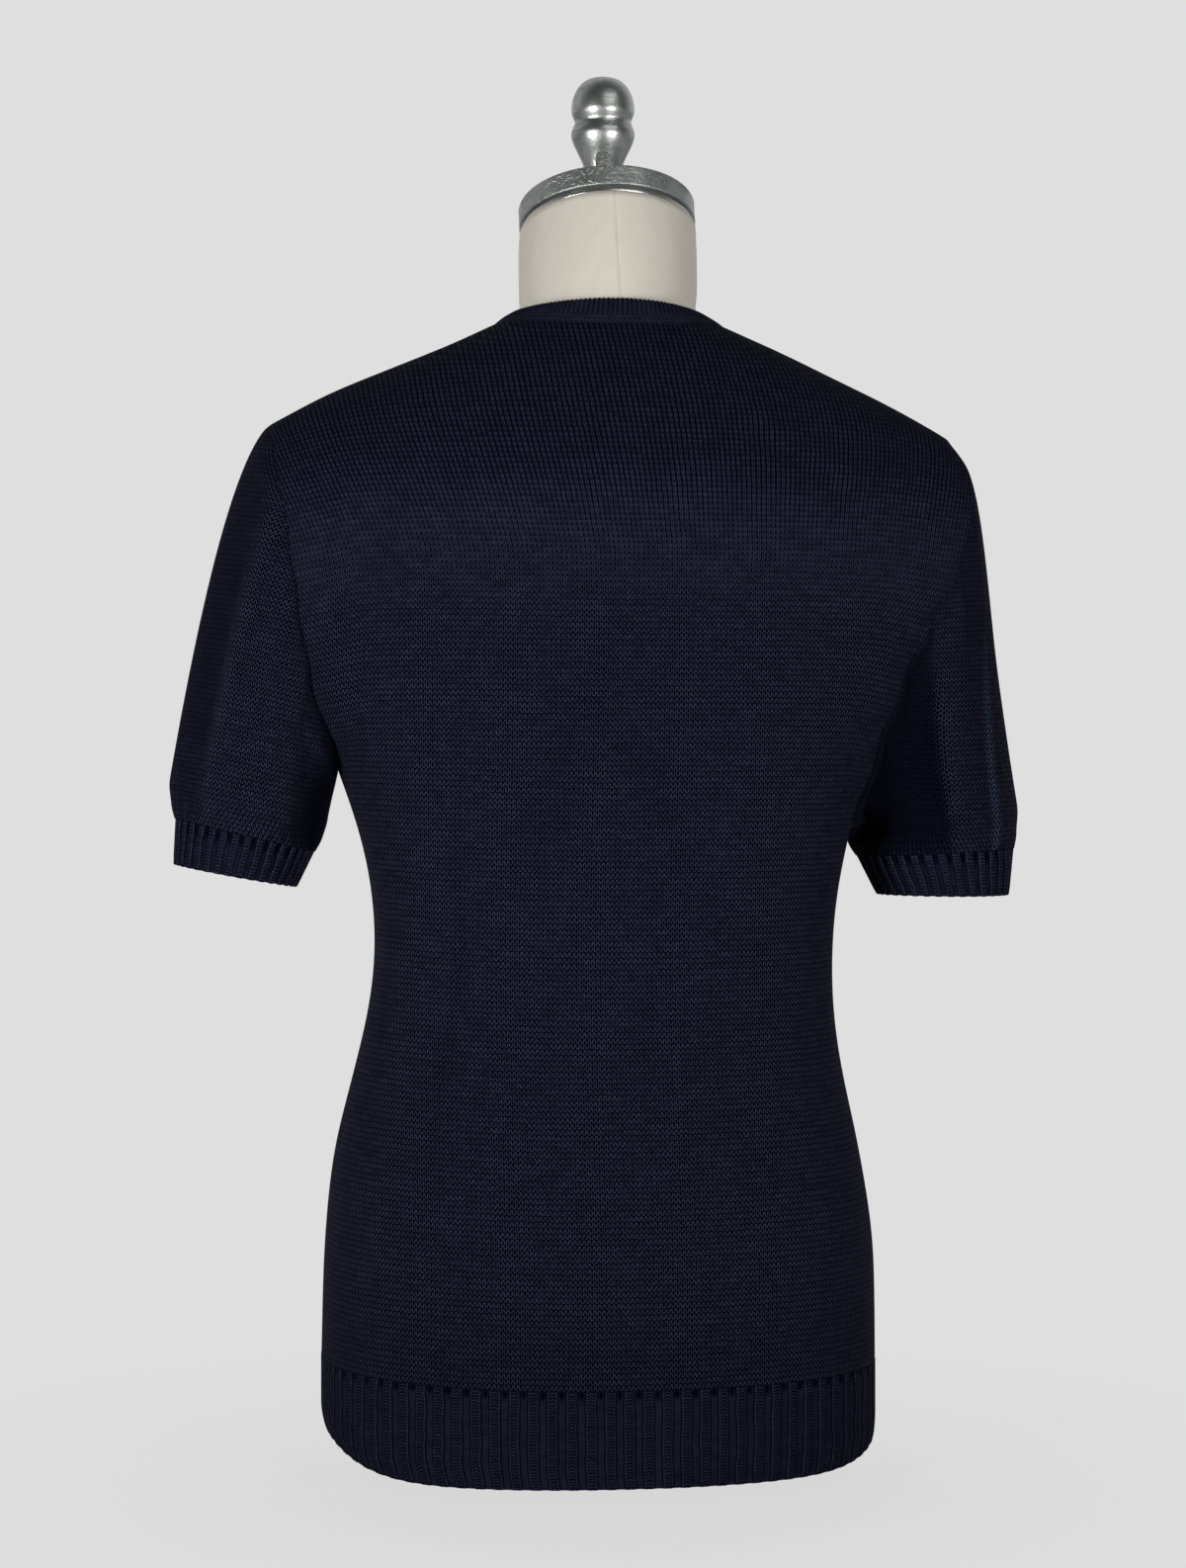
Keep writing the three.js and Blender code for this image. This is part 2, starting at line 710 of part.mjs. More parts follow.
// A closed solid through rings, with a flat fan at each end.
function solidOfRings(rings) {
  const count = rings[0].length;
  const positions = rings.flat().flatMap((p) => [p.x, p.y, p.z]);
  const index = [];
  for (let r = 0; r < rings.length - 1; r += 1) {
    for (let c = 0; c < count; c += 1) {
      const next = (c + 1) % count;
      const a = r * count + c;
      const b = r * count + next;
      index.push(a, b, b + count, a, b + count, a + count);
    }
  }
  const ends = [rings[0], rings[rings.length - 1]];
  ends.forEach((ring, end) => {
    const middle = ring.reduce((sum, p) => sum.add(p), vec(0, 0, 0)).divideScalar(count);
    const hub = positions.push(middle.x, middle.y, middle.z) / 3 - 1;
    const base = end === 0 ? 0 : (rings.length - 1) * count;
    for (let c = 0; c < count; c += 1) {
      const a = base + c;
      const b = base + ((c + 1) % count);
      index.push(...(end === 0 ? [hub, b, a] : [hub, a, b]));
    }
  });
  return new THREE.BufferGeometry()
    .setAttribute("position", new THREE.Float32BufferAttribute(positions, 3))
    .setIndex(index);
}

// ------------------------------------------------------------------ metal and wood
const turned = (profile, segments) =>
  new THREE.LatheGeometry(
    profile.map(([r, h]) => new THREE.Vector2(r, h)),
    segments,
  ).rotateX(Math.PI / 2);

function flangeShape() {
  const { radius, height, spacerRadius, spacerHeight } = FLANGE;
  return turned(
    [
      [0, 0],
      [radius, 0],
      [radius, height],
      [spacerRadius, height],
      [spacerRadius, spacerHeight],
      [0, spacerHeight],
    ],
    48,
  );
}

function capShape() {
  const { radius, height, bevel } = CAP;
  return turned(
    [
      [0, 0],
      [radius - bevel / 2, 0],
      [radius, bevel / 2],
      [radius, height - bevel],
      [radius - bevel, height],
      [0, height],
    ],
    48,
  );
}

// A closed geometry as a solid for cutting, and a solid as a geometry.
function solidOf(geometry) {
  const bare = geometry.clone();
  for (const name of ["normal", "uv"]) bare.deleteAttribute(name);
  const merged = mergeVertices(bare, 1e-4);
  const vertProperties = merged.attributes.position.array;
  const triVerts = new Uint32Array(merged.index.array);
  return new wasm.Manifold(new wasm.Mesh({ numProp: 3, vertProperties, triVerts }));
}

function geometryOf(solid) {
  const { vertProperties, triVerts } = solid.getMesh();
  return new THREE.BufferGeometry()
    .setAttribute("position", new THREE.BufferAttribute(vertProperties, 3))
    .setIndex(new THREE.BufferAttribute(triVerts, 1));
}

// Ring, groove and egg follow round arcs between their named widths.
function finialShape() {
  const { stem, taper, ring, groove, egg } = FINIAL;
  const profile = [
    [0, 0],
    [stem.radius, 0],
    [stem.radius, stem.height - 2],
    [taper.radius, taper.height],
    [lerp(taper.radius, ring.radius, 0.62), lerp(taper.height, ring.height, 0.45)],
    [ring.radius - 1, ring.height - 4],
    [ring.radius, ring.height],
    [groove.radius, groove.height],
    [egg.radius - 0.7, lerp(groove.height, egg.height, 0.45)],
  ];
  for (const degrees of [0, 15, 30, 45, 60, 72, 82]) {
    const angle = THREE.MathUtils.degToRad(degrees);
    const h = egg.height + (egg.top - egg.height) * Math.sin(angle);
    profile.push([egg.radius * Math.cos(angle) ** 0.85, h]);
  }
  profile.push([0, egg.top]);
  return turned(profile, 32);
}

// The finial, upright, with its stem cut off along the cap's slanted top.
function standingFinial(slantedFrame, capTop) {
  const { x, y } = FINIAL;
  const upright = finialShape().translate(x, y, NECK.z);
  const deep = 200;
  const below = new THREE.BoxGeometry(deep, deep, deep)
    .translate(0, 0, capTop + SEAM_GAP - deep / 2)
    .applyMatrix4(slantedFrame);
  return geometryOf(solidOf(upright).subtract(solidOf(below)));
}

function footShape() {
  const outline = new THREE.Shape().absellipse(
    0,
    0,
    FOOT.halfWidth - FOOT.edge,
    FOOT.halfDepth - FOOT.edge,
    0,
    2 * Math.PI,
  );
  return new THREE.ExtrudeGeometry(outline, {
    depth: FOOT.height - 2 * FOOT.edge,
    bevelThickness: FOOT.edge,
    bevelSize: FOOT.edge,
    bevelSegments: 1,
    curveSegments: 40,
  }).translate(0, 0, FOOT.edge);
}

function lugShape() {
  const half = LUG.width / 2;
  const outline = new THREE.Shape()
    .moveTo(-half, 0)
    .lineTo(half, 0)
    .lineTo(half, LUG.height - 2)
    .quadraticCurveTo(half, LUG.height, half - 2, LUG.height)
    .lineTo(2 - half, LUG.height)
    .quadraticCurveTo(-half, LUG.height, -half, LUG.height - 2)
    .closePath();
  return new THREE.ExtrudeGeometry(outline, {
    depth: LUG.depth,
    bevelEnabled: false,
    curveSegments: 4,
  }).rotateX(Math.PI / 2);
}

// ------------------------------------------------------------------ assembly
const hem = makeHem();
const band = makeBand();
const sleeves = { left: makeSleeve("left"), right: makeSleeve("right") };
const cuffs = { left: makeCuff("left"), right: makeCuff("right") };
const TOP = back.points.length - 1;

// Shared normals along the side and shoulder seams, the armholes, the bands and the cuffs.
for (let r = 0; r <= TOP; r += 1) {
  if (r > BODY_ROWS && r < BODY_ROWS + ARMHOLE_ROWS) continue;
  joinNormals([
    [[back, r, 0], [front, r, COLUMNS]],
    [[back, r, COLUMNS], [front, r, 0]],
  ]);
}
for (const side of ["left", "right"]) {
  const sleeve = sleeves[side];
  const cuffRow = sleeve.points.length - 1;
  joinNormals(armholeRing(side).map((spots, i) => [...spots, [sleeve, 0, i]]));
  joinNormals(sleeve.points[0].map((_, i) => [[sleeve, cuffRow, i], [cuffs[side], 0, i]]));
}
for (let c = 0; c < 2 * COLUMNS; c += 1) {
  const spot = (r) => (c < COLUMNS ? [back, r, c] : [front, r, c - COLUMNS]);
  joinNormals([
    [spot(0), [hem, hem.points.length - 1, c]],
    [spot(TOP), [band, 0, c]],
  ]);
}

const navy = (roughness) =>
  new THREE.MeshStandardMaterial({ color: 0x17182a, roughness, metalness: 0 });
const metal = (roughness) =>
  new THREE.MeshStandardMaterial({ color: 0x8a8e8c, roughness, metalness: 1 });

const root = new THREE.Group();

function add(name, geometry, material, parent = root) {
  const mesh = new THREE.Mesh(geometry, material);
  mesh.name = name;
  parent.add(mesh);
  return mesh;
}

add("back_panel", wall(back, CLOTH), navy(0.85));
add("front_panel", wall(front, CLOTH), navy(0.85));
for (const side of ["left", "right"]) {
  add(`sleeve_${side}`, wall(sleeves[side], CLOTH), navy(0.85));
  add(`cuff_rib_${side}`, wall(cuffs[side], RIB), navy(0.9));
}
add("neck_rib", wall(band, RIB), navy(0.9));
add("hem_rib", wall(hem, RIB), navy(0.9));

add(
  "dress_form",
  makeForm(),
  new THREE.MeshStandardMaterial({ color: 0xcfcbc0, roughness: 0.8, metalness: 0 }),
);
add(
  "form_foot",
  footShape(),
  new THREE.MeshStandardMaterial({ color: 0x4a3526, roughness: 0.5, metalness: 0 }),
);

// The flange and cap sit square on the slanted top of the neck; the finial stands upright.
const slanted = new THREE.Group();
slanted.position.set(NECK.x, NECK.y, NECK.z);
slanted.rotation.x = THREE.MathUtils.degToRad(NECK.slant);
root.add(slanted);
slanted.updateMatrix();
const capFoot = FLANGE.spacerHeight + 2 * SEAM_GAP;
const capTop = capFoot + CAP.height;
add("neck_flange", flangeShape(), metal(0.25), slanted).position.z = SEAM_GAP;
add("neck_cap", capShape(), metal(0.45), slanted).position.z = capFoot;
add("finial_lug", lugShape(), metal(0.3), slanted).position.set(
  LUG.x,
  LUG.y + LUG.depth,
  capTop + SEAM_GAP,
);
add("finial", standingFinial(slanted.matrix, capTop), metal(0.25));

export default root;
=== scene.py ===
"""Looks for a short-sleeved knitted top with a crew neck on a limbless dress form.

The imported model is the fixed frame. Each soft piece is drawn again here as a fine thin shell on
the same rows and rings, and the metal on the same turned profiles. Shapes are worked out in
millimetres and become metres when a mesh is built.
"""

import logging
import math
from dataclasses import dataclass, field
from enum import Enum
from typing import Any, Sequence

import bmesh
import bpy
import numpy as np
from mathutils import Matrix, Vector


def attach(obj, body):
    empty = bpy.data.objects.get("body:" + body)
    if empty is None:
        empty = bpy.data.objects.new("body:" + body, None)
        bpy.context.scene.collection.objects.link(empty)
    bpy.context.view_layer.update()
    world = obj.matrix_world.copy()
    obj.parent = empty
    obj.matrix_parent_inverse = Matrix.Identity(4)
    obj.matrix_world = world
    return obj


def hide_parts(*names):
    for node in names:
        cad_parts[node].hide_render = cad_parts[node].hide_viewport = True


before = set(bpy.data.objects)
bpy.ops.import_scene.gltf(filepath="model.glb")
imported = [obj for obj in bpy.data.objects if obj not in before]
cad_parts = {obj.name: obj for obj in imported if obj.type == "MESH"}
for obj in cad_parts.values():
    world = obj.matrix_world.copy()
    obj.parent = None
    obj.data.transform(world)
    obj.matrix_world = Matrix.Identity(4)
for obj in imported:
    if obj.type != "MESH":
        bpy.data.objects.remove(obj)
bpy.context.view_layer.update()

Array = np.ndarray
Piece = bpy.types.Object
log = logging.getLogger("top_on_form")

MM = 0.001
TURN = 2 * math.pi
CLOTH = 2.2
RIB = 2.8
SEAM_GAP = 0.32
SEAM_OVERLAP = 0.05
FORM_CLEARANCE = 1.2
ARC_STEPS = 320
BODY_ROWS, ARMHOLE_ROWS, SHOULDER_ROWS = 9, 10, 4
LAST_ROW = BODY_ROWS + ARMHOLE_ROWS + SHOULDER_ROWS
SOFT_PASSES = 3
SOFT_REACH = 0.1
LEG_START, LEG_SPREAD, LEG_WIDTH, LEG_SLOPE = 0.05, 0.37, 0.082, 1.4
KNIT_MAP = "knit"
# The point attribute that carries painted light on the knit: painted highlights above 0, painted
# shade below.
PAINTED_LIGHT = "pressed"
BAKE_MAP = "OFBake"


class Side(Enum):
    """The wearer's two sides."""

    LEFT = "left"
    RIGHT = "right"

    @property
    def sign(self) -> int:
        """The direction of this side along X."""
        return 1 if self is Side.LEFT else -1


class Face(Enum):
    """The two faces of the body."""

    BACK = "back"
    FRONT = "front"


class Held(str, Enum):
    """How a sheet of cloth is held."""

    DRAPED = "draped"
    STRETCHED = "stretched"


# ---- small maths
def vec(x: Any, y: Any, z: Any) -> Array:
    """One point from how far across, back and up it is, or many from arrays of these."""
    return np.stack(np.broadcast_arrays(x, y, z), axis=-1).astype(float)


def lerp(low: Any, high: Any, share: Any) -> Any:
    """The value at a share of the way from low to high."""
    return low + (high - low) * share


def ease(value: Any, low: float, high: float) -> Any:
    """A smooth step from 0 at low to 1 at high."""
    t = np.clip((value - low) / (high - low), 0, 1)
    return t * t * (3 - 2 * t)


def hill(value: Any, reach: float) -> Any:
    """A smooth hill of height 1 at 0, which falls away over its reach."""
    return np.exp(-((value / reach) ** 2))


def unit(vectors: Array) -> Array:
    """The same directions at length one."""
    return vectors / np.maximum(np.linalg.norm(vectors, axis=-1, keepdims=True), 1e-9)


def stations(cells: int, ends: float = 0.25) -> Array:
    """Shares from 0 to 1 in that many steps, whose end steps are ends times an even one."""
    t = np.linspace(0, 1, cells + 1)
    return t - (1 - ends) * np.sin(TURN * t) / TURN


def reach_along(points: Array, axis: int) -> Array:
    """The distance of every point from the first, run along one axis of a grid or line."""
    steps = np.linalg.norm(np.diff(points, axis=axis), axis=-1)
    return np.cumsum(np.insert(steps, 0, 0, axis=axis), axis=axis)


def closed_round(grid: Array) -> Array:
    """A grid with its first column again after its last."""
    return np.concatenate([grid, grid[:, :1]], axis=1)


def respace(points: Array, shares: Array) -> Array:
    """The points at given shares of the length of a line of points."""
    run = reach_along(points, 0)
    return np.stack([np.interp(shares * run[-1], run, line) for line in points.T], axis=-1)


def grid_normals(points: Array, closed: bool) -> Array:
    """Outward normals of a grid whose columns run across and whose rows run up.

    Args:
        points: The grid.
        closed: Whether each row closes on itself.

    Returns:
        A unit normal for each point.
    """
    if closed:
        across = np.roll(points, -1, axis=1) - np.roll(points, 1, axis=1)
    else:
        across = np.gradient(points, axis=1)
    up = np.gradient(points, axis=0)
    return unit(np.cross(across, up))


def relax(points: Array, passes: int, share: Any = 1.0) -> Array:
    """Evens out a grid along its columns, leaving its first and last rows.

    Args:
        points: The grid.
        passes: How many times to average neighbours.
        share: How far each column is evened, from 0 to 1.

    Returns:
        The evened grid.
    """
    out = points.copy()
    for _ in range(passes):
        out[1:-1] += 0.5 * share * ((out[:-2] + out[2:]) / 2 - out[1:-1])
    return out


def rows_between(control: Array, at: Array) -> Array:
    """Rows at fractional places between control rows, on smooth curves through them.

    Args:
        control: The control rows.
        at: The places, counted in control rows.

    Returns:
        One row for each place.
    """
    before, after = 2 * control[:1] - control[1:2], 2 * control[-1:] - control[-2:-1]
    padded = np.concatenate([before, control, after])
    first = np.clip(np.floor(at).astype(int), 0, len(control) - 2)
    t = (at - first).reshape(-1, *[1] * (control.ndim - 1))
    a, b, c, d = (padded[first + k] for k in range(4))
    bend = 2 * a - 5 * b + 4 * c - d
    return b + 0.5 * t * ((c - a) + t * (bend + t * (3 * b - a - 3 * c + d)))


def swept(start: Any, end: Any, leave: Any, arrive: Any, t: float) -> Any:
    """The place at t on a smooth curve that leaves and arrives in given directions.

    Args:
        start: Where it starts.
        end: Where it ends.
        leave: How it leaves the start.
        arrive: How it arrives at the end.
        t: The share of the way.

    Returns:
        The place, or one for each start.
    """
    t2, t3 = t * t, t * t * t
    held = (2 * t3 - 3 * t2 + 1) * start + (3 * t2 - 2 * t3) * end
    return held + (t3 - 2 * t2 + t) * leave + (t3 - t2) * arrive


@dataclass(frozen=True)
class Profile:
    """A smooth curve through a short table of keys and values."""

    keys: tuple[float, ...]
    values: tuple[float, ...]

    def at(self, key: Any) -> Any:
        """The curve's value.

        Args:
            key: Where to read it, one number or an array.

        Returns:
            The value there.
        """
        keys, values = np.array(self.keys), np.array(self.values)
        slopes = np.empty_like(values)
        slopes[1:-1] = (values[2:] - values[:-2]) / (keys[2:] - keys[:-2])
        slopes[0] = (values[1] - values[0]) / (keys[1] - keys[0])
        slopes[-1] = (values[-1] - values[-2]) / (keys[-1] - keys[-2])
        row = np.searchsorted(keys[1:-1], key, side="left")
        span = keys[row + 1] - keys[row]
        t = (key - keys[row]) / span
        rise = values[row + 1] - values[row]
        a = slopes[row] * span - rise
        b = rise - slopes[row + 1] * span
        return values[row] + t * rise + t * (1 - t) * (a * (1 - t) + b * t)


@dataclass(frozen=True)
class Row:
    """One row of cloth across a face, between its left and right edges."""

    square: float
    depth: float
    middle: Array
    left: Array
    right: Array

    @classmethod
    def between(cls, square: float, depth: float, middle: Any, left: Any, right: Any) -> "Row":
        """A row from its middle point, and from the reach and height of its two ends."""
        ends = vec(left[0], depth, left[1]), vec(-right[0], depth, right[1])
        return cls(square, depth, vec(*middle), *ends)

    def half(self, edge: Array) -> Array:
        """The arc from the row's middle out to one edge, part of a squared ellipse.

        Args:
            edge: The edge point.

        Returns:
            Points from the middle to the edge.
        """
        power = 2 / self.square
        deep = self.middle[1] - self.depth
        share = np.clip((edge[1] - self.depth) / deep, 0, 1)
        last = math.acos(share ** (1 / power))
        angle = np.linspace(0, last, ARC_STEPS + 1)
        out = np.sin(angle) ** power / math.sin(last) ** power
        y = self.depth + deep * np.maximum(np.cos(angle), 0) ** power
        y[-1] = edge[1]
        return vec(
            lerp(self.middle[0], edge[0], out), y, lerp(self.middle[2], edge[2], out * out)
        )

    def points(self, face: Face, shares: Array) -> Array:
        """Points at shares of the row, left to right on the back, right to left on the front."""
        line = np.concatenate([self.half(self.left)[::-1], self.half(self.right)[1:]])
        return respace(line if face is Face.BACK else line[::-1], shares)


@dataclass(frozen=True)
class Crease:
    """A soft ridge, or a trough where its height is below zero, along a line on one face."""

    line: tuple[tuple[float, float], ...]
    width: float
    height: float

    def lift(self, points: Array) -> Array:
        """How far the crease lifts each point of a grid.

        Args:
            points: The grid.

        Returns:
            The lift in millimetres.
        """
        flat = points[..., [0, 2]]
        nodes = np.array(self.line, float)
        spans = np.linalg.norm(np.diff(nodes, axis=0), axis=1)
        before = np.concatenate([[0], np.cumsum(spans)])
        near = np.full(flat.shape[:-1], 1e9)
        where = np.zeros(flat.shape[:-1])
        for start, end, run, span in zip(nodes[:-1], nodes[1:], before, spans):
            t = np.clip(((flat - start) @ (end - start)) / span**2, 0, 1)
            gap = np.linalg.norm(flat - (start + t[..., None] * (end - start)), axis=-1)
            closer = gap < near
            near = np.where(closer, gap, near)
            where = np.where(closer, (run + t * span) / before[-1], where)
        taper = np.sin(math.pi * np.clip(where, 0.02, 0.98)) ** 0.7
        return self.height * taper * hill(near, self.width)


BACK_CREASES = (
    Crease(
        (
            (93, 545), (99, 470), (98, 398), (95, 341),
            (102, 284), (113, 228), (127, 150), (130, 100),
        ),
        3.6,
        -1.1,
    ),
    Crease(((-64, 400), (-66, 340), (-68, 262)), 5.0, -0.7),
    Crease(((14, 520), (30, 470), (52, 415), (62, 372)), 13.0, -1.3),
    Crease(((12, 520), (-14, 462), (-38, 405), (-50, 360)), 14.0, -1.2),
    Crease(((8, 330), (14, 296), (10, 262)), 16.0, 1.3),
    Crease(((-66, 690), (-105, 664), (-140, 640), (-160, 628)), 7.0, 1.6),
    Crease(((-80, 668), (-118, 646), (-150, 618)), 8.0, -1.2),
    Crease(((120, 640), (142, 600), (150, 560)), 9.0, -1.0),
    Crease(((112, 622), (48, 632), (-20, 634), (-92, 628)), 14.0, 1.4),
)
FRONT_CREASES = (
    Crease(((90, 540), (98, 440), (92, 340), (104, 250), (120, 130)), 4.5, -0.9),
    Crease(((-84, 500), (-78, 400), (-86, 300), (-98, 210)), 5.5, -0.8),
    Crease(((4, 520), (26, 460), (44, 400)), 14.0, -1.3),
    Crease(((-2, 500), (-24, 448), (-40, 390)), 13.0, -1.1),
    Crease(((120, 610), (96, 570), (62, 540)), 11.0, 1.4),
    Crease(((-128, 600), (-100, 560), (-66, 536)), 12.0, 1.5),
    Crease(((-150, 470), (-122, 440), (-84, 420)), 10.0, -1.3),
)


# ---- mesh drafts
def corners_of(values: Array) -> Array:
    """The values at the four corners of each face of a grid, face by face."""
    corners = (values[:-1, :-1], values[:-1, 1:], values[1:, 1:], values[1:, :-1])
    return np.stack(corners, axis=2).reshape(-1, 4, *values.shape[2:])


@dataclass
class Draft:
    """Gathers grids of points into one mesh, with a map for the knit and one for baking."""

    name: str
    points: list[Array] = field(default_factory=list)
    faces: list[Array] = field(default_factory=list)
    knit: list[Array] = field(default_factory=list)
    bake: list[Array] = field(default_factory=list)
    count: int = 0

    def grid(
        self,
        points: Array,
        knit: Array,
        bake: Sequence[float],
        wrap_rows: bool = False,
        wrap_columns: bool = False,
    ) -> Array:
        """Adds a grid of four-sided faces that look along the grid's normals.

        Args:
            points: The grid, rows by columns.
            knit: The knit map, with one more row or column where the grid wraps.
            bake: The part of the bake map it takes: low u, low v, high u, high v.
            wrap_rows: Whether the last row joins the first.
            wrap_columns: Whether the last column joins the first.

        Returns:
            The numbers of the grid's points.
        """
        rows, columns = points.shape[:2]
        index = np.arange(rows * columns).reshape(rows, columns) + self.count
        self.count += rows * columns
        self.points.append(points.reshape(-1, 3))
        around = index
        if wrap_rows:
            around = np.concatenate([around, around[:1]], axis=0)
        if wrap_columns:
            around = closed_round(around)
        self.keep(around, knit, bake)
        return index

    def cap(self, first: Array, second: Array, knit: Array, bake: Sequence[float]) -> None:
        """Closes the gap between two lines of points that are already in the mesh."""
        self.keep(np.stack([first, second]), np.stack([knit, knit]), bake)

    def keep(self, index: Array, knit: Array, bake: Sequence[float]) -> None:
        """Keeps the faces of a grid of point numbers, with their two maps.

        Args:
            index: The numbers of the points.
            knit: The knit map at each of them.
            bake: Their part of the bake map: low u, low v, high u, high v.
        """
        u = np.linspace(bake[0], bake[2], index.shape[1])
        v = np.linspace(bake[1], bake[3], index.shape[0])
        baked = np.stack(np.meshgrid(u, v), axis=-1)
        for store, values in ((self.faces, index), (self.knit, knit), (self.bake, baked)):
            store.append(corners_of(values))

    def build(self) -> Piece:
        """The mesh as an object in the scene, in metres and smooth."""
        mesh = bpy.data.meshes.new(self.name)
        points = np.concatenate(self.points) * MM
        faces = np.concatenate(self.faces)
        mesh.vertices.add(len(points))
        mesh.vertices.foreach_set("co", points.astype(np.float32).ravel())
        mesh.loops.add(faces.size)
        mesh.loops.foreach_set("vertex_index", faces.astype(np.int32).ravel())
        mesh.polygons.add(len(faces))
        mesh.polygons.foreach_set("loop_start", np.arange(0, faces.size, 4, dtype=np.int32))
        mesh.polygons.foreach_set("use_smooth", np.ones(len(faces), bool))
        for name, parts in ((BAKE_MAP, self.bake), (KNIT_MAP, self.knit)):
            layer = mesh.uv_layers.new(name=name)
            values = np.concatenate(parts).astype(np.float32).ravel()
            layer.uv.foreach_set("vector", values)
        mesh.update(calc_edges=True)
        mesh.validate()
        piece = bpy.data.objects.new(self.name, mesh)
        bpy.context.scene.collection.objects.link(piece)
        return piece


def mark_painted_light(piece: Piece, values: Array) -> None:
    """Marks the first points of a piece, its outer side, with painted light: a painted highlight
    above 0, painted shade below.
    """
    marks = np.pad(values.ravel(), (0, len(piece.data.vertices) - values.size)).astype(np.float32)
    piece.data.attributes.new(PAINTED_LIGHT, "FLOAT", "POINT").data.foreach_set("value", marks)


def finish_piece(piece: Piece, nodes: Sequence[str], dress: Any) -> None:
    """Gives a piece its body, the nodes that it stands for and its material.

    Args:
        piece: The piece.
        nodes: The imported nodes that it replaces.
        dress: Its material.
    """
    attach(piece, "root")
    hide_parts(*nodes)
    piece.data.materials.append(dress)
    triangles = sum(len(p.vertices) - 2 for p in piece.data.polygons)
    log.info("%s: %d triangles, stands for %s", piece.name, triangles, ", ".join(nodes))


# ---- the cut
@dataclass(frozen=True)
class Armhole:
    """The opening for one arm: its heights, depths and the reach of its two halves."""

    low: float
    high: float
    back_depth: float
    front_depth: float
    back: Profile
    front: Profile


LEFT_HEIGHTS = (452, 509, 553, 597, 634, 672)
RIGHT_HEIGHTS = (419, 466, 510, 545, 580, 615, 645, 668)
SIDE_HEIGHTS = (72, 150, 208, 259, 298, 336, 375, 413, 452)
MIDDLE_LINE = (72, 150, 215, 275, 336, 400, 460, 530, 580, 625, 668, 705, 735)


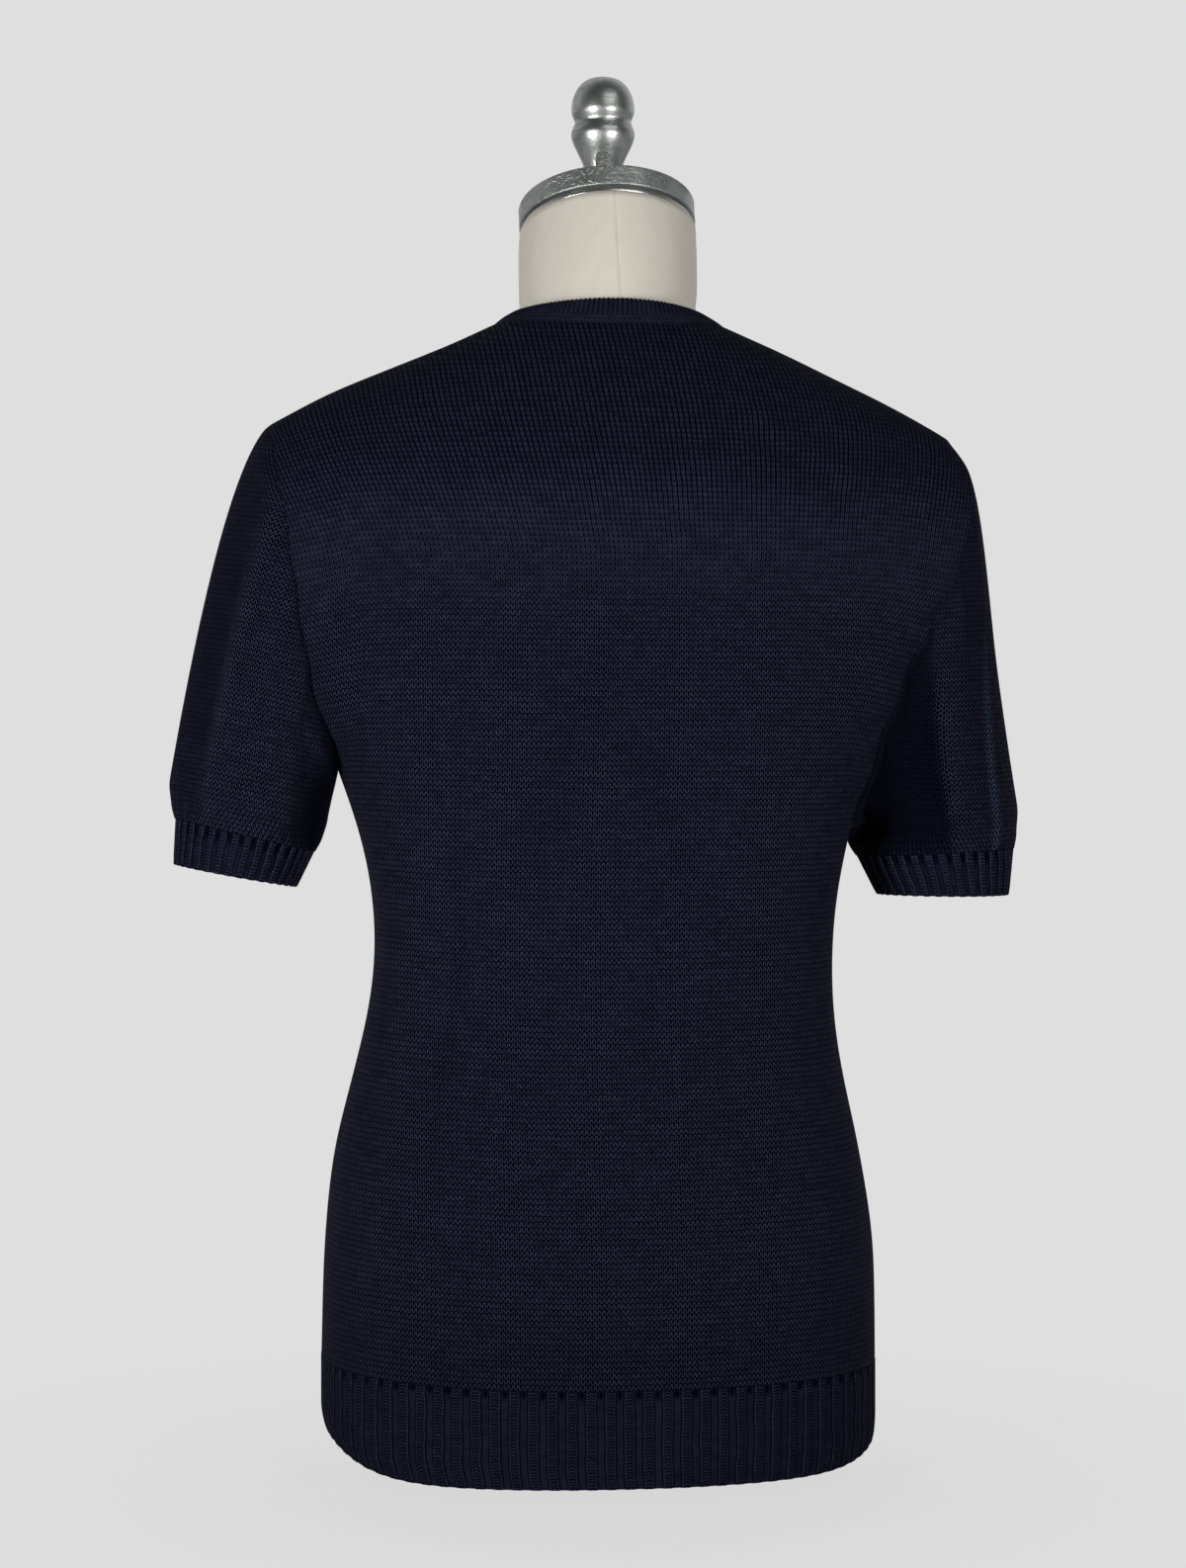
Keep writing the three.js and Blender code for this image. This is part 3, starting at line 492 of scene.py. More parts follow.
@dataclass(frozen=True)
class BodyCut:
    """The shape of the two body panels, row by row from the hem rib to the neckline."""

    rib_top: tuple[float, float, float] = (77, 71, 73)
    side_left: Profile = Profile(
        SIDE_HEIGHTS, (178.6, 176.2, 170.0, 157.6, 148.4, 144.0, 146.2, 154.0, 168.0)
    )
    side_right: Profile = Profile(
        SIDE_HEIGHTS, (178.6, 177.4, 169.0, 158.2, 152.8, 152.0, 155.0, 163.0, 177.0)
    )
    back: Profile = Profile(
        MIDDLE_LINE, (125, 121, 110, 96, 88, 95, 105, 111, 109, 102, 89, 71, 50)
    )
    front: Profile = Profile(
        MIDDLE_LINE, (-118, -116, -109, -103, -101, -107, -115, -117, -109, -92, -70, -60, -50)
    )
    back_heights: tuple[float, float, float] = (440, 692, 735)
    front_heights: tuple[float, float, float] = (440, 625, 668)
    left_hole: Armhole = Armhole(
        452, 672, 64, 60,
        Profile(LEFT_HEIGHTS, (168, 188, 196, 202, 208, 213)),
        Profile(LEFT_HEIGHTS, (168, 185, 192, 198, 206, 213)),
    )
    right_hole: Armhole = Armhole(
        419, 668, 60, 60,
        Profile(RIGHT_HEIGHTS, (165, 175, 190, 207, 226, 237, 237, 230)),
        Profile(RIGHT_HEIGHTS, (165, 176, 186, 192, 199, 208, 219, 230)),
    )
    shoulder_ways: tuple[float, ...] = (0, 0.25, 0.5, 0.75, 1)
    left_reach: tuple[float, ...] = (213, 176, 138.5, 99, 66)
    left_height: tuple[float, ...] = (672, 692.5, 708.5, 725, 741)
    right_reach: tuple[float, ...] = (230, 194, 155, 120, 83)
    right_height: tuple[float, ...] = (668, 688, 706.5, 724, 740)
    shoulder_depth: tuple[float, float] = (-2, -10)
    hem_square: float = 2.45
    waist_square: float = 2.25
    chest_square: float = 2.5
    shoulder_square: float = 2.1

    def heights(self, face: Face) -> tuple[float, float, float]:
        """Heights on a face's middle line at the underarm, shoulder and neckline rows."""
        return self.back_heights if face is Face.BACK else self.front_heights

    def middle(self, face: Face, z: float) -> float:
        """The depth of a face's middle line at a height."""
        return float((self.back if face is Face.BACK else self.front).at(z))

    def hole(self, side: Side) -> Armhole:
        """One side's armhole."""
        return self.left_hole if side is Side.LEFT else self.right_hole

    def armhole_point(self, side: Side, face: Face, share: Any) -> Array:
        """The point at a share of the way up an armhole's back or front half.

        Args:
            side: Which armhole.
            face: Which half of it.
            share: The share, one number or an array.

        Returns:
            The point or points.
        """
        hole = self.hole(side)
        z = lerp(hole.low, hole.high, (1 - np.cos(math.pi * share)) / 2)
        reach = (hole.back if face is Face.BACK else hole.front).at(z)
        swing = np.sin(math.pi * share)
        deep = hole.back_depth if face is Face.BACK else -hole.front_depth
        return vec(side.sign * reach, deep * swing + self.shoulder_depth[0] * share, z)

    def row(self, face: Face, at: float) -> Row:
        """The row at a place between the hem rib, 0, and the neckline, LAST_ROW.

        Args:
            face: Which face.
            at: The place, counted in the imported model's rows.

        Returns:
            The row.
        """
        if at < BODY_ROWS:
            return self.body_row(face, at / BODY_ROWS)
        if at < BODY_ROWS + ARMHOLE_ROWS:
            return self.armhole_row(face, (at - BODY_ROWS) / ARMHOLE_ROWS)
        return self.shoulder_row(face, (at - BODY_ROWS - ARMHOLE_ROWS) / SHOULDER_ROWS)

    def body_row(self, face: Face, share: float) -> Row:
        """A row between the hem rib and the underarms.

        Args:
            face: Which face.
            share: The share of the way up between them.

        Returns:
            The row.
        """
        left_rib, middle_rib, right_rib = self.rib_top
        z = lerp(middle_rib, self.heights(face)[0], share)
        left_z = lerp(left_rib, self.left_hole.low, share)
        right_z = lerp(right_rib, self.right_hole.low, share)
        left = float(self.side_left.at(left_z))
        right = float(self.side_right.at(right_z))
        if share < 0.6:
            square = lerp(self.hem_square, self.waist_square, share / 0.6)
        else:
            square = lerp(self.waist_square, self.chest_square, (share - 0.6) / 0.4)
        middle = (left - right) / 2, self.middle(face, z), z
        return Row.between(square, 0, middle, (left, left_z), (right, right_z))

    def armhole_row(self, face: Face, share: float) -> Row:
        """A row between the two armholes.

        Args:
            face: Which face.
            share: The share of the way up them.

        Returns:
            The row.
        """
        low, high, _ = self.heights(face)
        eased = (share + (1 - math.cos(math.pi * share)) / 2) / 2
        z = lerp(low, high, eased)
        return Row(
            lerp(self.chest_square, self.shoulder_square, share),
            self.shoulder_depth[0] * share,
            vec(-3, self.middle(face, z), z),
            self.armhole_point(Side.LEFT, face, share),
            self.armhole_point(Side.RIGHT, face, share),
        )

    def shoulder_row(self, face: Face, share: float) -> Row:
        """A row between the two shoulder seams.

        Args:
            face: Which face.
            share: The share of the way up them.

        Returns:
            The row.
        """
        _, low, high = self.heights(face)
        z = lerp(low, high, share)
        y = lerp(*self.shoulder_depth, share)
        middle = lerp(-3, -4, share), self.middle(face, z), z
        seams = (self.left_reach, self.left_height), (self.right_reach, self.right_height)
        ends = ([Profile(self.shoulder_ways, run).at(share) for run in seam] for seam in seams)
        return Row.between(self.shoulder_square, y, middle, *ends)

    def ring(self, at: float, shares: Array) -> Array:
        """The ring of the row at a place, at shares of the back's row and then the front's."""
        return np.concatenate([self.row(face, at).points(face, shares) for face in Face])


CUT = BodyCut()


@dataclass(frozen=True)
class Ring:
    """A ring round an arm, by its outer and inner ends, its middle and its half depth."""

    outer: tuple[float, float]
    inner: tuple[float, float]
    y: float
    depth: float

    def point(self, side: Side, share: Any) -> Array:
        """The point at a share of the way round from underneath.

        Args:
            side: Which arm.
            share: The share, one number or an array.

        Returns:
            The point or points.
        """
        angle = TURN * share
        out = (1 - np.cos(angle)) / 2
        return vec(
            side.sign * lerp(self.inner[0], self.outer[0], out),
            self.y + side.sign * self.depth * np.sin(angle),
            lerp(self.inner[1], self.outer[1], out),
        )


@dataclass(frozen=True)
class Fold:
    """A long soft fold of a sleeve, placed by shares round it and along it. The same shape places
    the sleeve's painted highlights and painted shade.
    """

    around: float
    start: float
    end: float
    height: float
    width: float
    drift: float = 0.0
    flat: float = 0.0
    onset: float = 0.8

    def lift(self, around: Array, way: Array) -> Array:
        """How far the fold lifts the cloth.

        Args:
            around: Shares of the way round the sleeve.
            way: Shares of its length from the armhole.

        Returns:
            The lift in millimetres, below zero in a trough.
        """
        t = np.clip((way - self.start) / (self.end - self.start), 0, 1)
        off = np.abs(around - self.around - self.drift * t)
        off = np.minimum(off, 1 - off)
        across = np.maximum(off - self.flat, 0) / self.width
        return self.height * np.sin(math.pi * t) ** self.onset * np.exp(-across * across)


@dataclass(frozen=True)
class SleeveCut:
    """The shape of one sleeve from its armhole to its cuff."""

    side: Side
    full: Ring
    cuff_top: Ring
    cuff_low: Ring
    under: tuple[float, float]
    over: tuple[float, float]
    swell: float
    folds: tuple[Fold, ...]
    # Painted light along the sleeve: painted highlights on crease lines, painted shade on the cloth
    # turned away beside them and in the hollow by the armhole.
    light_marks: tuple[Fold, ...]
    arrive_out: float = 0.17

    def start(self, around: Array) -> Array:
        """The armhole's points, from underneath up one half and down the other.

        Args:
            around: Shares of the way round.

        Returns:
            The points.
        """
        first = Face.BACK if self.side is Side.LEFT else Face.FRONT
        second = Face.FRONT if first is Face.BACK else Face.BACK
        up = CUT.armhole_point(self.side, first, np.minimum(2 * around, 1))
        down = CUT.armhole_point(self.side, second, np.minimum(2 - 2 * around, 1))
        return np.where((around <= 0.5)[:, None], up, down)

    def line(self, around: Array, t: float) -> Array:
        """The sleeve's ring at a share of the way from the armhole to its fullest ring.

        Args:
            around: Shares of the way round.
            t: The share of the way.

        Returns:
            The ring's points.
        """
        start, end = self.start(around), self.full.point(self.side, around)
        length = np.linalg.norm(end - start, axis=1, keepdims=True)
        high = (1 - np.cos(TURN * around)) / 2
        leave = length * vec(
            self.side.sign * lerp(self.under[0], self.over[0], high),
            self.side.sign * self.swell * np.sin(TURN * around),
            -lerp(self.under[1], self.over[1], high),
        )
        arrive = length * np.array([self.side.sign * self.arrive_out, 0, -1])
        return swept(start, end, leave, arrive, t)


SLEEVES = {
    Side.LEFT: SleeveCut(
        side=Side.LEFT,
        full=Ring((275.5, 446), (174.5, 419), -6, 62),
        cuff_top=Ring((271.5, 421), (183, 400), -7, 57),
        cuff_low=Ring((273, 391), (194.5, 376.5), -8, 55),
        under=(0.2, 1.0),
        over=(0.33, 0.33),
        swell=0.16,
        folds=(
            Fold(around=0.335, start=0.02, end=1.05, height=3.5, width=0.022, drift=0.01),
            Fold(around=0.40, start=0.05, end=1.15, height=-6.0, width=0.055),
            Fold(around=0.25, start=0.30, end=1.05, height=-2.0, width=0.06, drift=-0.03),
            Fold(around=0.10, start=0.20, end=1.20, height=-8.0, width=0.05),
            Fold(around=0.72, start=0.10, end=0.9, height=-3.5, width=0.05),
        ),
        # Painted light: a highlight along the crease line, shade on the outer strip beyond it,
        # shade in the hollow by the underarm.
        light_marks=(
            Fold(
                around=0.335, start=-0.1, end=1.1, height=0.42, width=0.011, drift=0.01, onset=0.5
            ),
            Fold(around=0.43, start=-0.2, end=1.3, height=-0.35, width=0.03, flat=0.04),
            Fold(around=0.07, start=-0.6, end=1.5, height=-0.8, width=0.05),
        ),
    ),
    Side.RIGHT: SleeveCut(
        side=Side.RIGHT,
        full=Ring((280.5, 430), (169, 408), -20, 62),
        cuff_top=Ring((278.5, 401), (176, 396), -22, 57),
        cuff_low=Ring((275.5, 369.5), (190, 369.5), -23, 55),
        under=(0.2, 1.0),
        over=(0.2, 0.33),
        swell=-0.05,
        folds=(
            Fold(around=0.88, start=0.0, end=1.06, height=-14.0, width=0.022, flat=0.11, onset=0.5),
            Fold(around=0.735, start=0.10, end=1.05, height=0.6, width=0.025),
            Fold(around=0.65, start=0.45, end=1.10, height=1.5, width=0.012),
            Fold(around=0.27, start=0.10, end=0.9, height=-3.5, width=0.05),
        ),
        # Painted light: shade in the hollow under the back panel's edge, a thin highlight along the
        # ridge, shade beside it.
        light_marks=(
            Fold(around=0.88, start=0.0, end=1.2, height=-0.8, width=0.012, flat=0.118, onset=0.3),
            Fold(around=0.655, start=0.30, end=1.2, height=1.5, width=0.010, onset=0.5),
            Fold(around=0.67, start=-0.1, end=1.2, height=-0.35, width=0.06),
        ),
    ),
}


# ---- walls
def rounded_edge(outer: Array, inner: Array, outward: Array, steps: int = 5) -> Array:
    """Rows that carry a wall round a free edge from its outer side to its inner side.

    Args:
        outer: The last row of the outer side.
        inner: The last row of the inner side.
        outward: Unit directions past the edge.
        steps: How many rows there are.

    Returns:
        The rows.
    """
    middle, half = (outer + inner) / 2, (outer - inner) / 2
    size = np.linalg.norm(half, axis=-1, keepdims=True)
    angles = np.linspace(0, math.pi, steps + 2)[1:-1]
    return np.stack([middle + half * np.cos(a) + outward * size * np.sin(a) for a in angles])


def drawn_out(points: Array, closed: bool) -> Array:
    """A grid with its edges drawn out by half the seam overlap, so that no gap shows.

    Args:
        points: The grid.
        closed: Whether its rows close on themselves.

    Returns:
        The grid with its outer rows, and outer columns where it is open, moved out.
    """
    out = points.copy()
    half = SEAM_OVERLAP / 2
    out[0] -= half * unit(points[1] - points[0])
    out[-1] -= half * unit(points[-2] - points[-1])
    if not closed:
        out[:, 0] -= half * unit(points[:, 1] - points[:, 0])
        out[:, -1] -= half * unit(points[:, -2] - points[:, -1])
    return out


def tube_piece(
    name: str,
    outer: Array,
    inner: Array,
    knit: Array,
    round_start: bool = False,
    round_end: bool = False,
) -> Piece:
    """A closed wall round a tube of cloth.

    Args:
        name: The piece's name.
        outer: The outer side, rows along the tube and columns round it.
        inner: The inner side, with the same columns.
        knit: The knit map of the outer side, with one more column.
        round_start: Whether the first row is a free, rounded edge.
        round_end: Whether the last row is one.

    Returns:
        The piece.
    """
    rows, maps = [outer], [knit]
    if round_end:
        edge = rounded_edge(outer[-1], inner[-1], unit(outer[-1] - outer[-2]))
        rows.append(edge)
        maps.append(np.repeat(knit[-1:], len(edge), axis=0))
    rows.append(inner[::-1])
    shares = np.linspace(1, 0, len(inner))
    spots = np.interp(shares, np.linspace(0, 1, len(knit)), np.arange(len(knit)))
    maps.append(knit[np.rint(spots).astype(int)])
    if round_start:
        edge = rounded_edge(inner[0], outer[0], unit(outer[0] - outer[1]))
        rows.append(edge)
        maps.append(np.repeat(knit[:1], len(edge), axis=0))
    maps.append(knit[:1])
    draft = Draft(name)
    draft.grid(
        np.concatenate(rows), np.concatenate(maps), (0, 0, 1, 1), wrap_rows=True, wrap_columns=True
    )
    return draft.build()


def rib_wall(
    name: str,
    skin: Array,
    lift: Array,
    across: Array,
    up: Array,
    step: int,
    shift: Any = 0.0,
    **edges: bool,
) -> Piece:
    """A closed wall round a ribbed band.

    Args:
        name: The piece's name.
        skin: The band's smooth rings.
        lift: How far its ribs stand off them.
        across: The knit map's place round the band, counted in ribs.
        up: The knit map's place along it, in millimetres.
        step: How many rings of the outer side there are to each of the inner side.
        shift: How far each point is moved along the band.
        edges: Which of its ends are free and rounded.

    Returns:
        The piece.
    """
    normals = grid_normals(skin, True)
    base = drawn_out(skin, True) + shift
    outer = base + normals * lift[..., None]
    heights = closed_round(up) * MM
    knit = np.stack([np.broadcast_to(across, heights.shape), heights], axis=-1)
    return tube_piece(name, outer, (base - normals * RIB)[::step], knit, **edges)


# ---- plain knit
@dataclass(frozen=True)
class BodyPanel:
    """The back or the front of the body, in plain knit."""

    face: Face
    creases: tuple[Crease, ...] = ()
    columns: int = 176
    rows: int = 200
    evening: int = 30
    middle: float = -3.5
    seam_dip: float = 0.35
    band_dip: float = 0.12
    seam_reach: float = 1.6
    wales: tuple[float, float] = (1.05, 0.90)
    widening: tuple[float, float] = (560, 690)
    lean_from: float = 590
    lean: float = 0.12
    levelled: tuple[float, float] = (470, 620)
    # Painted light: creases painted darker in their troughs and paler on their ridges, painted
    # shade just above the hem band and near the panel's top.
    crease_light: float = 0.12
    ridge_highlight_share: float = 0.4
    above_band_shade: float = -0.20
    above_band_reach: float = 40
    upper_shade: float = -0.12
    upper_shade_span: tuple[float, float] = (625, 650)

    def skin(self) -> tuple[Array, Array]:
        """The panel's smooth skin and its knit map.

        Returns:
            The grid of points, and the distances across from the middle line and up.
        """
        shares = stations(self.columns)
        inward = np.minimum(shares, 1 - shares)[:, None]
        at = LAST_ROW * stations(self.rows)
        exact, control = (
            np.stack([CUT.row(self.face, place).points(self.face, shares) for place in places])
            for places in (at, range(LAST_ROW + 1))
        )
        share = np.clip(inward / SOFT_REACH, 0, 1)
        control[BODY_ROWS:] = relax(control[BODY_ROWS:], SOFT_PASSES, share)
        eased = rows_between(control, at)
        points = lerp(exact, eased, ease(share, 0, 1))
        points = relax(points, self.evening, share)
        across, up = self.courses(points)
        way = -1 if self.face is Face.BACK else 1
        starts = [
            np.interp(way * self.middle, way * line[:, 0], row)
            for line, row in zip(points, across)
        ]
        return points, np.stack([across - np.array(starts)[:, None], up], axis=-1)

    def courses(self, points: Array) -> tuple[Array, Array]:
        """Distances along the courses and up the wales of level knitting.

        Args:
            points: The panel's grid.

        Returns:
            The distance along each row from its first point, and up each column from the rib.
        """
        normals = grid_normals(points, False)
        level = np.cross(normals, unit(np.cross(np.array([0, 0, 1.0]), normals)))
        straight = np.cross(normals, np.array([1.0, 0, 0]))
        straight *= np.where(straight[..., 2:] < 0, -1, 1)
        high = ease(points[..., 2], *self.levelled)[..., None]
        wale = unit(lerp(unit(level), unit(straight), high))
        course = np.cross(wale, normals)
        steps = np.diff(points, axis=1)
        along = np.sum(steps * (course[:, 1:] + course[:, :-1]) / 2, axis=-1)
        rises = np.diff(points, axis=0)
        up = np.sum(rises * (wale[1:] + wale[:-1]) / 2, axis=-1)
        along = np.pad(np.cumsum(np.abs(along), axis=1), ((0, 0), (1, 0)))
        return along, np.pad(np.cumsum(up, axis=0), ((1, 0), (0, 0)))

    def stretched(self, knit: Array, heights: Array) -> Array:
        """The knit map in metres, with wales that widen and lean over the shoulder blades.

        Args:
            knit: Distances across and up.
            heights: The height of each point.

        Returns:
            The map.
        """
        across = knit[..., 0] * lerp(*self.wales, ease(heights, *self.widening))
        across = across + self.lean * np.maximum(heights - self.lean_from, 0)
        return np.stack([across, knit[..., 1]], axis=-1) * MM

    def pressed(self, lift: Array, knit: Array, heights: Array) -> Array:
        """Painted light: how much paler, above 0, or darker the cloth is painted; a painted
        highlight on crease ridges, painted shade in crease troughs, just above the hem band and
        near the top.

        Args:
            lift: How far the creases lift each point.
            knit: Distances across and up.
            heights: The height of each point.

        Returns:
            The values.
        """
        low = self.above_band_shade * hill(knit[..., 1], self.above_band_reach)
        tone = self.crease_light * np.where(lift < 0, lift, self.ridge_highlight_share * lift)
        return tone + low + self.upper_shade * ease(heights, *self.upper_shade_span)

    def dip(self, knit: Array) -> Array:
        """How deep the cloth rolls in towards its seams.

        Args:
            knit: Distances across and up.

        Returns:
            The depth at each point.
        """
        across, up = knit[..., 0], knit[..., 1]
        sides = np.minimum(across - across[:, :1], across[:, -1:] - across)
        ends = np.minimum(up, up[-1:] - up)
        rolls = ((sides, self.seam_dip), (ends, self.band_dip))
        return sum(deep * hill(near, self.seam_reach) for near, deep in rolls)

    def make(self) -> Piece:
        """The panel as a closed thin wall."""
        skin, knit = self.skin()
        normals = grid_normals(skin, False)
        base = drawn_out(skin, False)
        lift = sum((crease.lift(skin) for crease in self.creases), np.zeros(skin.shape[:2]))
        outer = base + normals * (lift - self.dip(knit))[..., None]
        inner = base + normals * (lift - CLOTH)[..., None]
        draft = Draft(f"{self.face.value}_knit")
        mapped = self.stretched(knit, skin[..., 2])
        maps = np.concatenate([mapped, mapped[::-1], mapped[:1]])
        index = draft.grid(
            np.concatenate([outer, inner[::-1]]), maps, (0, 0, 0.98, 1), wrap_rows=True
        )
        rows = len(outer)
        first, second = index[:rows], index[rows:][::-1]
        draft.cap(first[:, 0], second[:, 0], mapped[:, 0], (0.985, 0, 0.99, 1))
        draft.cap(second[:, -1], first[:, -1], mapped[:, -1], (0.992, 0, 0.997, 1))
        piece = draft.build()
        # The panel's painted light: highlights on crease ridges, shade in troughs, above the band
        # and near the top.
        mark_painted_light(piece, self.pressed(lift, knit, skin[..., 2]))
        return piece


@dataclass(frozen=True)
class Sleeve:
    """One short set-in sleeve, in plain knit."""

    cut: SleeveCut
    columns: int = 240
    rows: int = 84
    hem_rows: int = 18
    pull: float = 1.1
    evening: int = 6
    fade_in: float = 5
    fade_out: float = 10
    puff: float = 0.9
    puff_at: float = 7
    puff_reach: float = 6
    gather: float = 0.7
    gather_reach: float = 7.0
    ribs: int = 34
    seam_dip: float = 0.35
    cuff_dip: float = 0.15
    seam_reach: float = 1.6
    course: float = 1.11

    def skin(self) -> Array:
        """The sleeve's smooth rings from its armhole to its cuff."""
        around = np.arange(self.columns) / self.columns
        rings = [self.cut.line(around, t) for t in stations(self.rows, 0.4)]
        full = self.cut.full.point(self.cut.side, around)
        cuff = self.cut.cuff_top.point(self.cut.side, around)
        arrive = full - rings[-2]
        size = np.linalg.norm(cuff - full, axis=1, keepdims=True)
        leave = unit(arrive) * size
        for t in np.linspace(0, 1, self.hem_rows + 1)[1:]:
            rings.append(swept(full, cuff, leave, (cuff - full) * self.pull, t))
        return relax(np.stack(rings), self.evening)

    def make(self) -> Piece:
        """The sleeve as a closed thin wall."""
        skin = self.skin()
        normals = grid_normals(skin, True)
        around = np.broadcast_to(np.arange(self.columns) / self.columns, skin.shape[:2])
        run = reach_along(skin, 0)
        way = run / run[-1:]
        to_cuff = run[-1:] - run
        lift = sum((fold.lift(around, way) for fold in self.cut.folds), np.zeros(way.shape))
        lift *= ease(run, 0, self.fade_in) * ease(to_cuff, 0, self.fade_out)
        lift += self.puff * hill(to_cuff - self.puff_at, self.puff_reach)
        ripple = np.cos(TURN * self.ribs * around)
        lift += self.gather * ripple * np.exp(-to_cuff / self.gather_reach)
        dip = self.seam_dip * hill(run, self.seam_reach)
        dip += self.cuff_dip * hill(to_cuff, self.seam_reach)
        base = drawn_out(skin, True)
        outer = base + normals * (lift - dip)[..., None]
        inner = base + normals * (lift - CLOTH)[..., None]
        knit = self.knit_map(skin, to_cuff)
        piece = tube_piece(f"{self.cut.side.value}_sleeve_knit", outer, inner, knit)
        # Painted light on the sleeve's outer side, from its highlight and shade marks.
        marks = sum((light_mark.lift(around, way) for light_mark in self.cut.light_marks), np.zeros(way.shape))
        mark_painted_light(piece, marks)
        return piece

    def knit_map(self, skin: Array, to_cuff: Array) -> Array:
        """The sleeve's knit map: round it from its outer line, and up from its cuff.

        Args:
            skin: The sleeve's rings.
            to_cuff: Distances from the cuff.

        Returns:
            The map in metres, with one more column.
        """
        whole = closed_round(skin)
        along = unit(np.gradient(whole, axis=0))
        steps = np.diff(whole, axis=1)
        along = unit(along[:, :-1] + along[:, 1:])
        flat = steps - np.sum(steps * along, axis=-1, keepdims=True) * along
        across = np.cumsum(np.linalg.norm(flat, axis=-1), axis=1)
        across = np.concatenate([np.zeros_like(across[:, :1]), across], axis=1)
        across -= across[:, self.columns // 2][:, None]
        up = closed_round(to_cuff) * self.course
        return np.stack([across, up], axis=-1) * MM


# ---- ribbed knit
@dataclass(frozen=True)
class RibShape:
    """The relief of a two-by-two rib: two knit wales, then a purl recess."""

    wales: tuple[float, float] = (0.2, 0.46)
    wale_reach: float = 0.13
    crown: float = 0.25
    recess: float = 0.95
    hole: float = 0.7
    hole_at: float = 2.6
    hole_reach: float = 2.2
    edge_share: float = 0.35
    edge_fade: tuple[float, float] = (-1, 4)

    def lift(self, phase: Array, to_seam: Array, to_edge: Array) -> Array:
        """How far the rib lifts the cloth.

        Args:
            phase: The place across the ribs, one rib to each whole number.
            to_seam: The distance to the seam with the plain knit.
            to_edge: The distance to the free edge, where the rib is weaker.

        Returns:
            The lift, below zero in the recesses and at their dark upper ends.
        """
        place = phase - np.floor(phase)
        knit = sum(np.exp(-(((place - wale) / self.wale_reach) ** 4)) for wale in self.wales)
        low = 1 - np.minimum(knit, 1)
        hole = self.hole * hill(to_seam - self.hole_at, self.hole_reach)
        lift = self.crown - (self.recess + self.crown) * low - hole * low
        return lift * lerp(self.edge_share, 1, ease(to_edge, *self.edge_fade))


@dataclass(frozen=True)
class Cuff:
    """A ribbed sleeve cuff."""

    cut: SleeveCut
    ribs: int = 34
    cells: int = 12
    rows: int = 22
    shape: RibShape = RibShape(recess=1.2, hole=0.9, hole_at=3.0, hole_reach=3.5)

    def make(self) -> Piece:
        """The cuff as a closed wall with a rounded free edge."""
        count = self.ribs * self.cells
        around = np.arange(count) / count
        top = self.cut.cuff_top.point(self.cut.side, around)
        low = self.cut.cuff_low.point(self.cut.side, around)
        length = np.linalg.norm(low - top, axis=1).mean()
        end = 1 - RIB / 2 / length
        skin = np.stack([lerp(top, low, t) for t in end * stations(self.rows, 0.4)])
        run = reach_along(skin, 0)
        across = np.arange(count + 1) / self.cells
        lift = self.shape.lift(across[:-1], run, length * end - run)
        name = f"{self.cut.side.value}_cuff_rib"
        return rib_wall(name, skin, lift, across, -run, 4, round_end=True)


@dataclass(frozen=True)
class HemBand:
    """The ribbed band round the bottom of the body."""

    ribs: int = 84
    cells: int = 12
    rows: int = 30
    low: float = 10
    left_end: float = 30
    right_end: float = 24
    turn: int = 9
    left: float = 175.5
    right: float = 178
    back: float = 124
    front: float = -117
    straight: float = 0.36
    square: float = 2.3
    shape: RibShape = RibShape()

    def free_edge(self, face: Face, middle: float, shares: Array) -> Array:
        """The free edge on one face.

        Args:
            face: Which face.
            middle: The middle of the band across.
            shares: Where the points lie along it.

        Returns:
            The points.
        """
        depth = self.back if face is Face.BACK else self.front
        ends = (self.left, self.low), (self.right, self.low)
        points = Row.between(self.square, 0, (middle, depth, self.low), *ends).points(face, shares)
        on_left = points[:, 0] > middle
        reach = np.where(on_left, self.left, self.right) + abs(middle)
        out = np.abs(points[:, 0] - middle) / reach
        ends = np.where(on_left, self.left_end, self.right_end)
        points[:, 2] = lerp(self.low, ends, np.minimum(out, 1) ** self.turn)
        return points

    def make(self) -> Piece:
        """The band as a closed wall with a rounded free edge."""
        count = self.ribs * self.cells
        shares = np.arange(count // 2) / (count // 2)
        middle = CUT.row(Face.BACK, 0).middle[0]
        top = CUT.ring(0, shares)
        low = np.concatenate([self.free_edge(face, middle, shares) for face in Face])
        length = np.linalg.norm(top - low, axis=1).mean()
        start = RIB / 2 / length
        skin = []
        for t in start + (1 - start) * stations(self.rows, 0.4):
            fall = 1 - max(1 - t / self.straight, 0) ** 2
            ring = lerp(low, top, fall)
            ring[:, 2] = lerp(low[:, 2], top[:, 2], t)
            skin.append(ring)
        skin = np.stack(skin)
        run = reach_along(skin, 0)
        below = run - run[-1:]
        across = np.arange(count + 1) / self.cells
        lift = self.shape.lift(across[:-1], -below, run)
        return rib_wall("hem_band_rib", skin, lift, across, below, 5, round_start=True)


